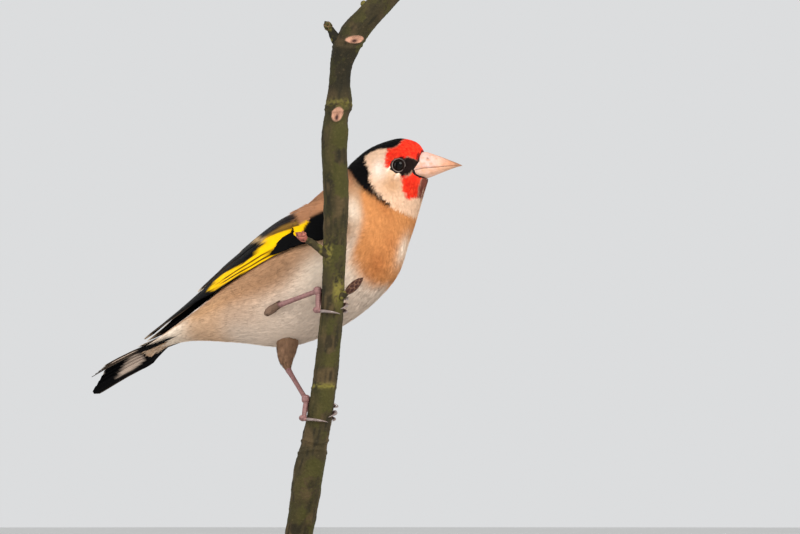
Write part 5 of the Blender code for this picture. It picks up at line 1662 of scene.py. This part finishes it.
def side_shoot(path, radii, tint, spot, seed):
    path, radii, at = even_path(path, radii, 44)
    sides = 28
    flat, _ = tube(path, radii, sides)
    rough = 0.30 * (cloud(flat, 0.9, seed) - 0.5) + 0.14 * (cloud(flat, 0.4, seed + 1) - 0.5)
    reach = round_ends(radii, at, 0.3, 0.5)[:, None] + rough.reshape(len(path), sides)
    points, faces = tube(path, np.maximum(reach, 0.05), sides)
    colours = np.tile(tint, (len(points), 1))
    colours = paint(colours, BARK_DARK, ramp(cloud(flat, 0.8, seed + 2), 0.4, 0.7) * 0.6)
    colours = paint(colours, spot, ramp(cloud(flat, 1.0, seed + 3), 0.5, 0.75) * 0.6)
    return [(points, faces, colours)]


def scaly_bud(start, end, radius, tint, rows, draw):
    """A bud of overlapping pointed scales round a spindle."""
    start, end = np.asarray(start, dtype=float), np.asarray(end, dtype=float)
    way = (end - start) / np.linalg.norm(end - start)
    length = np.linalg.norm(end - start)
    first = np.cross(way, (0.0, 0.0, 1.0))
    first = first / np.linalg.norm(first)
    second = np.cross(way, first)
    share = np.linspace(0.0, 1.0, 16)
    body = radius * np.sin(math.pi * np.clip(0.14 + 0.86 * share, 0.0, 1.0)) ** 0.75
    core, _, _ = even_path([start, (start + end) / 2, end], (1.0, 1.0, 1.0), 16)
    points, faces = tube(core, np.maximum(body * 0.86, 0.03), 16)
    # The spindle under the scales is painted at half the bud's colour: painted shade.
    parts = [(points, faces, np.tile(tint * 0.5, (len(points), 1)))]
    for row in range(rows):
        at = 0.02 + 0.72 * row / max(rows, 1)
        for k in range(4):
            angle = 2 * math.pi * (k + 0.5 * (row % 2)) / 4 + draw.uniform(-0.15, 0.15)
            reach = min(at + 0.34, 1.0)
            steps = np.linspace(at, reach, 6)
            fat = radius * np.sin(math.pi * np.clip(0.14 + 0.86 * steps, 0.0, 1.0)) ** 0.75
            lift = 0.04 + 0.10 * np.linspace(0.0, 1.0, 6)
            half = np.array([0.55, 0.75, 0.72, 0.55, 0.3, 0.05])
            rows_top = []
            for s, f, up, wide in zip(steps, fat, lift, half):
                for c in (-1.0, -0.5, 0.0, 0.5, 1.0):
                    turn = angle + c * wide
                    out = (f + up - 0.05 * abs(c)) * (first * math.cos(turn) + second * math.sin(turn))
                    rows_top.append(start + way * length * s + out)
            top = np.array(rows_top)
            axis = np.repeat(np.array([start + way * length * s for s in steps]), 5, 0)
            low = top - unit(top - axis) * 0.09
            sheet, sheet_faces = closed_sheet(top, low, 6, 5)
            # Each scale is painted darker at its base, where it tucks under the row before, and lighter and paler
            # towards its tip: painted shade and light. The pale rim at its edges is its own colour.
            shade = np.repeat(np.linspace(0.7, 1.15, 6), 5)
            edge = np.tile(np.abs([-1.0, -0.5, 0.0, 0.5, 1.0]), 6)
            colours = tint[None, :] * shade[:, None]
            colours = paint(colours, srgb(170, 130, 100), ramp(edge, 0.7, 1.0) * 0.35 + 0.3 * ramp(shade, 1.05, 1.15))
            parts.append((sheet, sheet_faces, np.vstack([colours, colours])))
    return parts


def plain_material(name, roughness, specular, bump=None):
    """A material that reads the markings off the mesh, with fine procedural mottling."""
    material, tree, shader = new_material(name, roughness, specular)
    tint = add_node(tree, "ShaderNodeVertexColor", layer_name="tint")
    place = tree.nodes.new("ShaderNodeTexCoord").outputs["Object"]
    fine = noise_node(tree, place, bump[0] if bump else 800.0, 4.0)
    mottle = ramp_node(tree, fine.outputs["Fac"], ((0.3, (0.84, 0.84, 0.84)), (0.7, (1.12, 1.12, 1.12))))
    link(tree, mix_node(tree, "MULTIPLY", 1.0, tint.outputs["Color"], mottle.outputs["Color"]), shader.inputs["Base Color"])
    if bump:
        bump_node(tree, fine.outputs["Fac"], bump[1], bump[2], shader)
    return material


def wood_material():
    """Dark turned wood: growth rings round a leaning axis, under a satin finish."""
    material, tree, shader = new_material("turned_wood", 0.38, 0.4)
    place = tree.nodes.new("ShaderNodeTexCoord").outputs["Object"]
    turn = add_node(tree, "ShaderNodeMapping")
    turn.inputs["Rotation"].default_value = (0.0, math.radians(84.0), math.radians(20.0))
    turn.inputs["Location"].default_value = (0.0, 0.03, 0.06)
    link(tree, place, turn.inputs["Vector"])
    rings = add_node(tree, "ShaderNodeTexWave", wave_type="RINGS", rings_direction="X", Scale=55.0, Distortion=3.0, Detail=2.0)
    link(tree, turn.outputs["Vector"], rings.inputs["Vector"])
    stretch = add_node(tree, "ShaderNodeMapping")
    stretch.inputs["Scale"].default_value = (6.0, 90.0, 90.0)
    link(tree, turn.outputs["Vector"], stretch.inputs["Vector"])
    grain = noise_node(tree, stretch.outputs["Vector"], 12.0, 4.0)
    tone = ramp_node(tree, rings.outputs["Fac"], ((0.1, tuple(srgb(58, 32, 20))), (0.9, tuple(srgb(96, 56, 34)))))
    dark = ramp_node(tree, grain.outputs["Fac"], ((0.35, (0.7, 0.7, 0.7)), (0.7, (1.15, 1.15, 1.15))))
    link(tree, mix_node(tree, "MULTIPLY", 1.0, tone.outputs["Color"], dark.outputs["Color"]), shader.inputs["Base Color"])
    bump_node(tree, grain.outputs["Fac"], 0.12, 0.0002, shader)
    return material


def steel_material():
    """Brushed steel with fine lines round the rod."""
    material, tree, shader = new_material("brushed_steel", 0.34, 0.5)
    shader.inputs["Metallic"].default_value = 1.0
    place = tree.nodes.new("ShaderNodeTexCoord").outputs["Object"]
    stretch = add_node(tree, "ShaderNodeMapping")
    stretch.inputs["Scale"].default_value = (60.0, 60.0, 4000.0)
    link(tree, place, stretch.inputs["Vector"])
    lines = noise_node(tree, stretch.outputs["Vector"], 1.0, 3.0)
    tone = ramp_node(tree, lines.outputs["Fac"], ((0.3, (0.46, 0.46, 0.47)), (0.7, (0.66, 0.66, 0.66))))
    link(tree, tone.outputs["Color"], shader.inputs["Base Color"])
    bump_node(tree, lines.outputs["Fac"], 0.15, 0.00005, shader)
    return material


def dress_node(name, material):
    """Gives a carried-over CAD node its own material."""
    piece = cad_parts[name]
    piece.data.materials.clear()
    piece.data.materials.append(material)


def build_camera():
    data = bpy.data.cameras.new("camera")
    data.lens = 150.0
    data.sensor_width = 36.0
    data.clip_start = 0.05
    data.clip_end = 50.0
    camera = bpy.data.objects.new("camera", data)
    elevation = math.radians(-4.0)
    aim = Vector((0.030, 0.008, 0.110))
    camera.location = aim - Vector((0.0, math.cos(elevation), -math.sin(elevation)))
    camera.rotation_euler = (math.radians(90.0) - elevation, 0.0, 0.0)
    bpy.context.scene.collection.objects.link(camera)
    bpy.context.scene.camera = camera
    bpy.context.scene.view_settings.view_transform = "Standard"


def area_light(name, place, aim, size, power, colour=(1.0, 1.0, 1.0)):
    data = bpy.data.lights.new(name, "AREA")
    data.shape = "DISK"
    data.size = size
    data.energy = power
    data.color = colour
    light = bpy.data.objects.new(name, data)
    light.location = place
    light.rotation_euler = (Vector(aim) - Vector(place)).to_track_quat("-Z", "Y").to_euler()
    bpy.context.scene.collection.objects.link(light)


def build_studio():
    """A pale floor, a pale surround and soft lights."""
    bpy.ops.mesh.primitive_circle_add(vertices=96, radius=4.0, fill_type="NGON", location=(0.0, 0.0, -0.0002))
    floor = bpy.context.object
    floor.name = "studio_floor"
    material, tree, shader = new_material("floor", 0.9, 0.2)
    place = tree.nodes.new("ShaderNodeTexCoord").outputs["Object"]
    cloud = noise_node(tree, place, 3.0)
    tone = ramp_node(tree, cloud.outputs["Fac"], ((0.3, (0.70, 0.70, 0.69)), (0.7, (0.74, 0.74, 0.73))))
    link(tree, tone.outputs["Color"], shader.inputs["Base Color"])
    floor.data.materials.append(material)
    world = bpy.data.worlds.new("studio")
    world.use_nodes = True
    back = world.node_tree.nodes["Background"]
    back.inputs["Color"].default_value = (0.84, 0.85, 0.86, 1.0)
    back.inputs["Strength"].default_value = 0.85
    bpy.context.scene.world = world
    aim = (0.0, 0.0, 0.12)
    area_light("key", (0.55, -0.85, 0.75), aim, 0.75, 16.5, (1.0, 0.95, 0.89))
    area_light("fill", (-0.9, -0.7, 0.35), aim, 0.9, 7.0, (1.0, 0.98, 0.96))
    area_light("rim", (-0.4, 0.9, 0.7), aim, 0.6, 3.0, (1.0, 0.98, 0.95))


coat = coat_material()
flight = flight_material()
eye_gloss = plain_material("eye_gloss", 0.05, 0.10)
lid_skin = plain_material("lid_skin", 0.6, 0.3, (2500.0, 0.3, 0.00005))
horn = plain_material("bill_horn", 0.42, 0.25, (900.0, 0.08, 0.00008))
leg_skin = plain_material("leg_scales", 0.5, 0.4, (2200.0, 0.3, 0.00006))
claw_horn = plain_material("claw_horn", 0.28, 0.5)
bark = plain_material("bark", 0.85, 0.2, (1300.0, 0.6, 0.00025))
thigh_skin = skin_material()
PIECES.append(build_skin(thigh_skin))
build_coat(coat)
for wing_side, wing_name in ((-1, "wing_right"), (1, "wing_left")):
    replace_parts(build_wing(wing_name + "_feathers", wing_side, flight), wing_name)
    build_shoulder(wing_side, coat)
build_tail(flight)
build_tail_coverts(coat)
for side, name in ((-1, "right"), (1, "left")):
    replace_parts(build_eye(f"eyeball_{name}", side, eye_gloss), f"eye_{name}")
    build_lids(side, lid_skin)
for name, upper in (("upper", True), ("lower", False)):
    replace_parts(build_bill(f"mandible_{name}", upper, horn), f"bill_{name}")
for side, leg in LEGS.items():
    build_leg(side, leg, leg_skin, claw_horn)
    build_thigh(side, leg, thigh_skin, coat)
build_twig(bark)
dress_node("stand_base", wood_material())
dress_node("stand_rod", steel_material())
build_camera()
build_studio()
for piece in PIECES:
    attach(piece, "root")
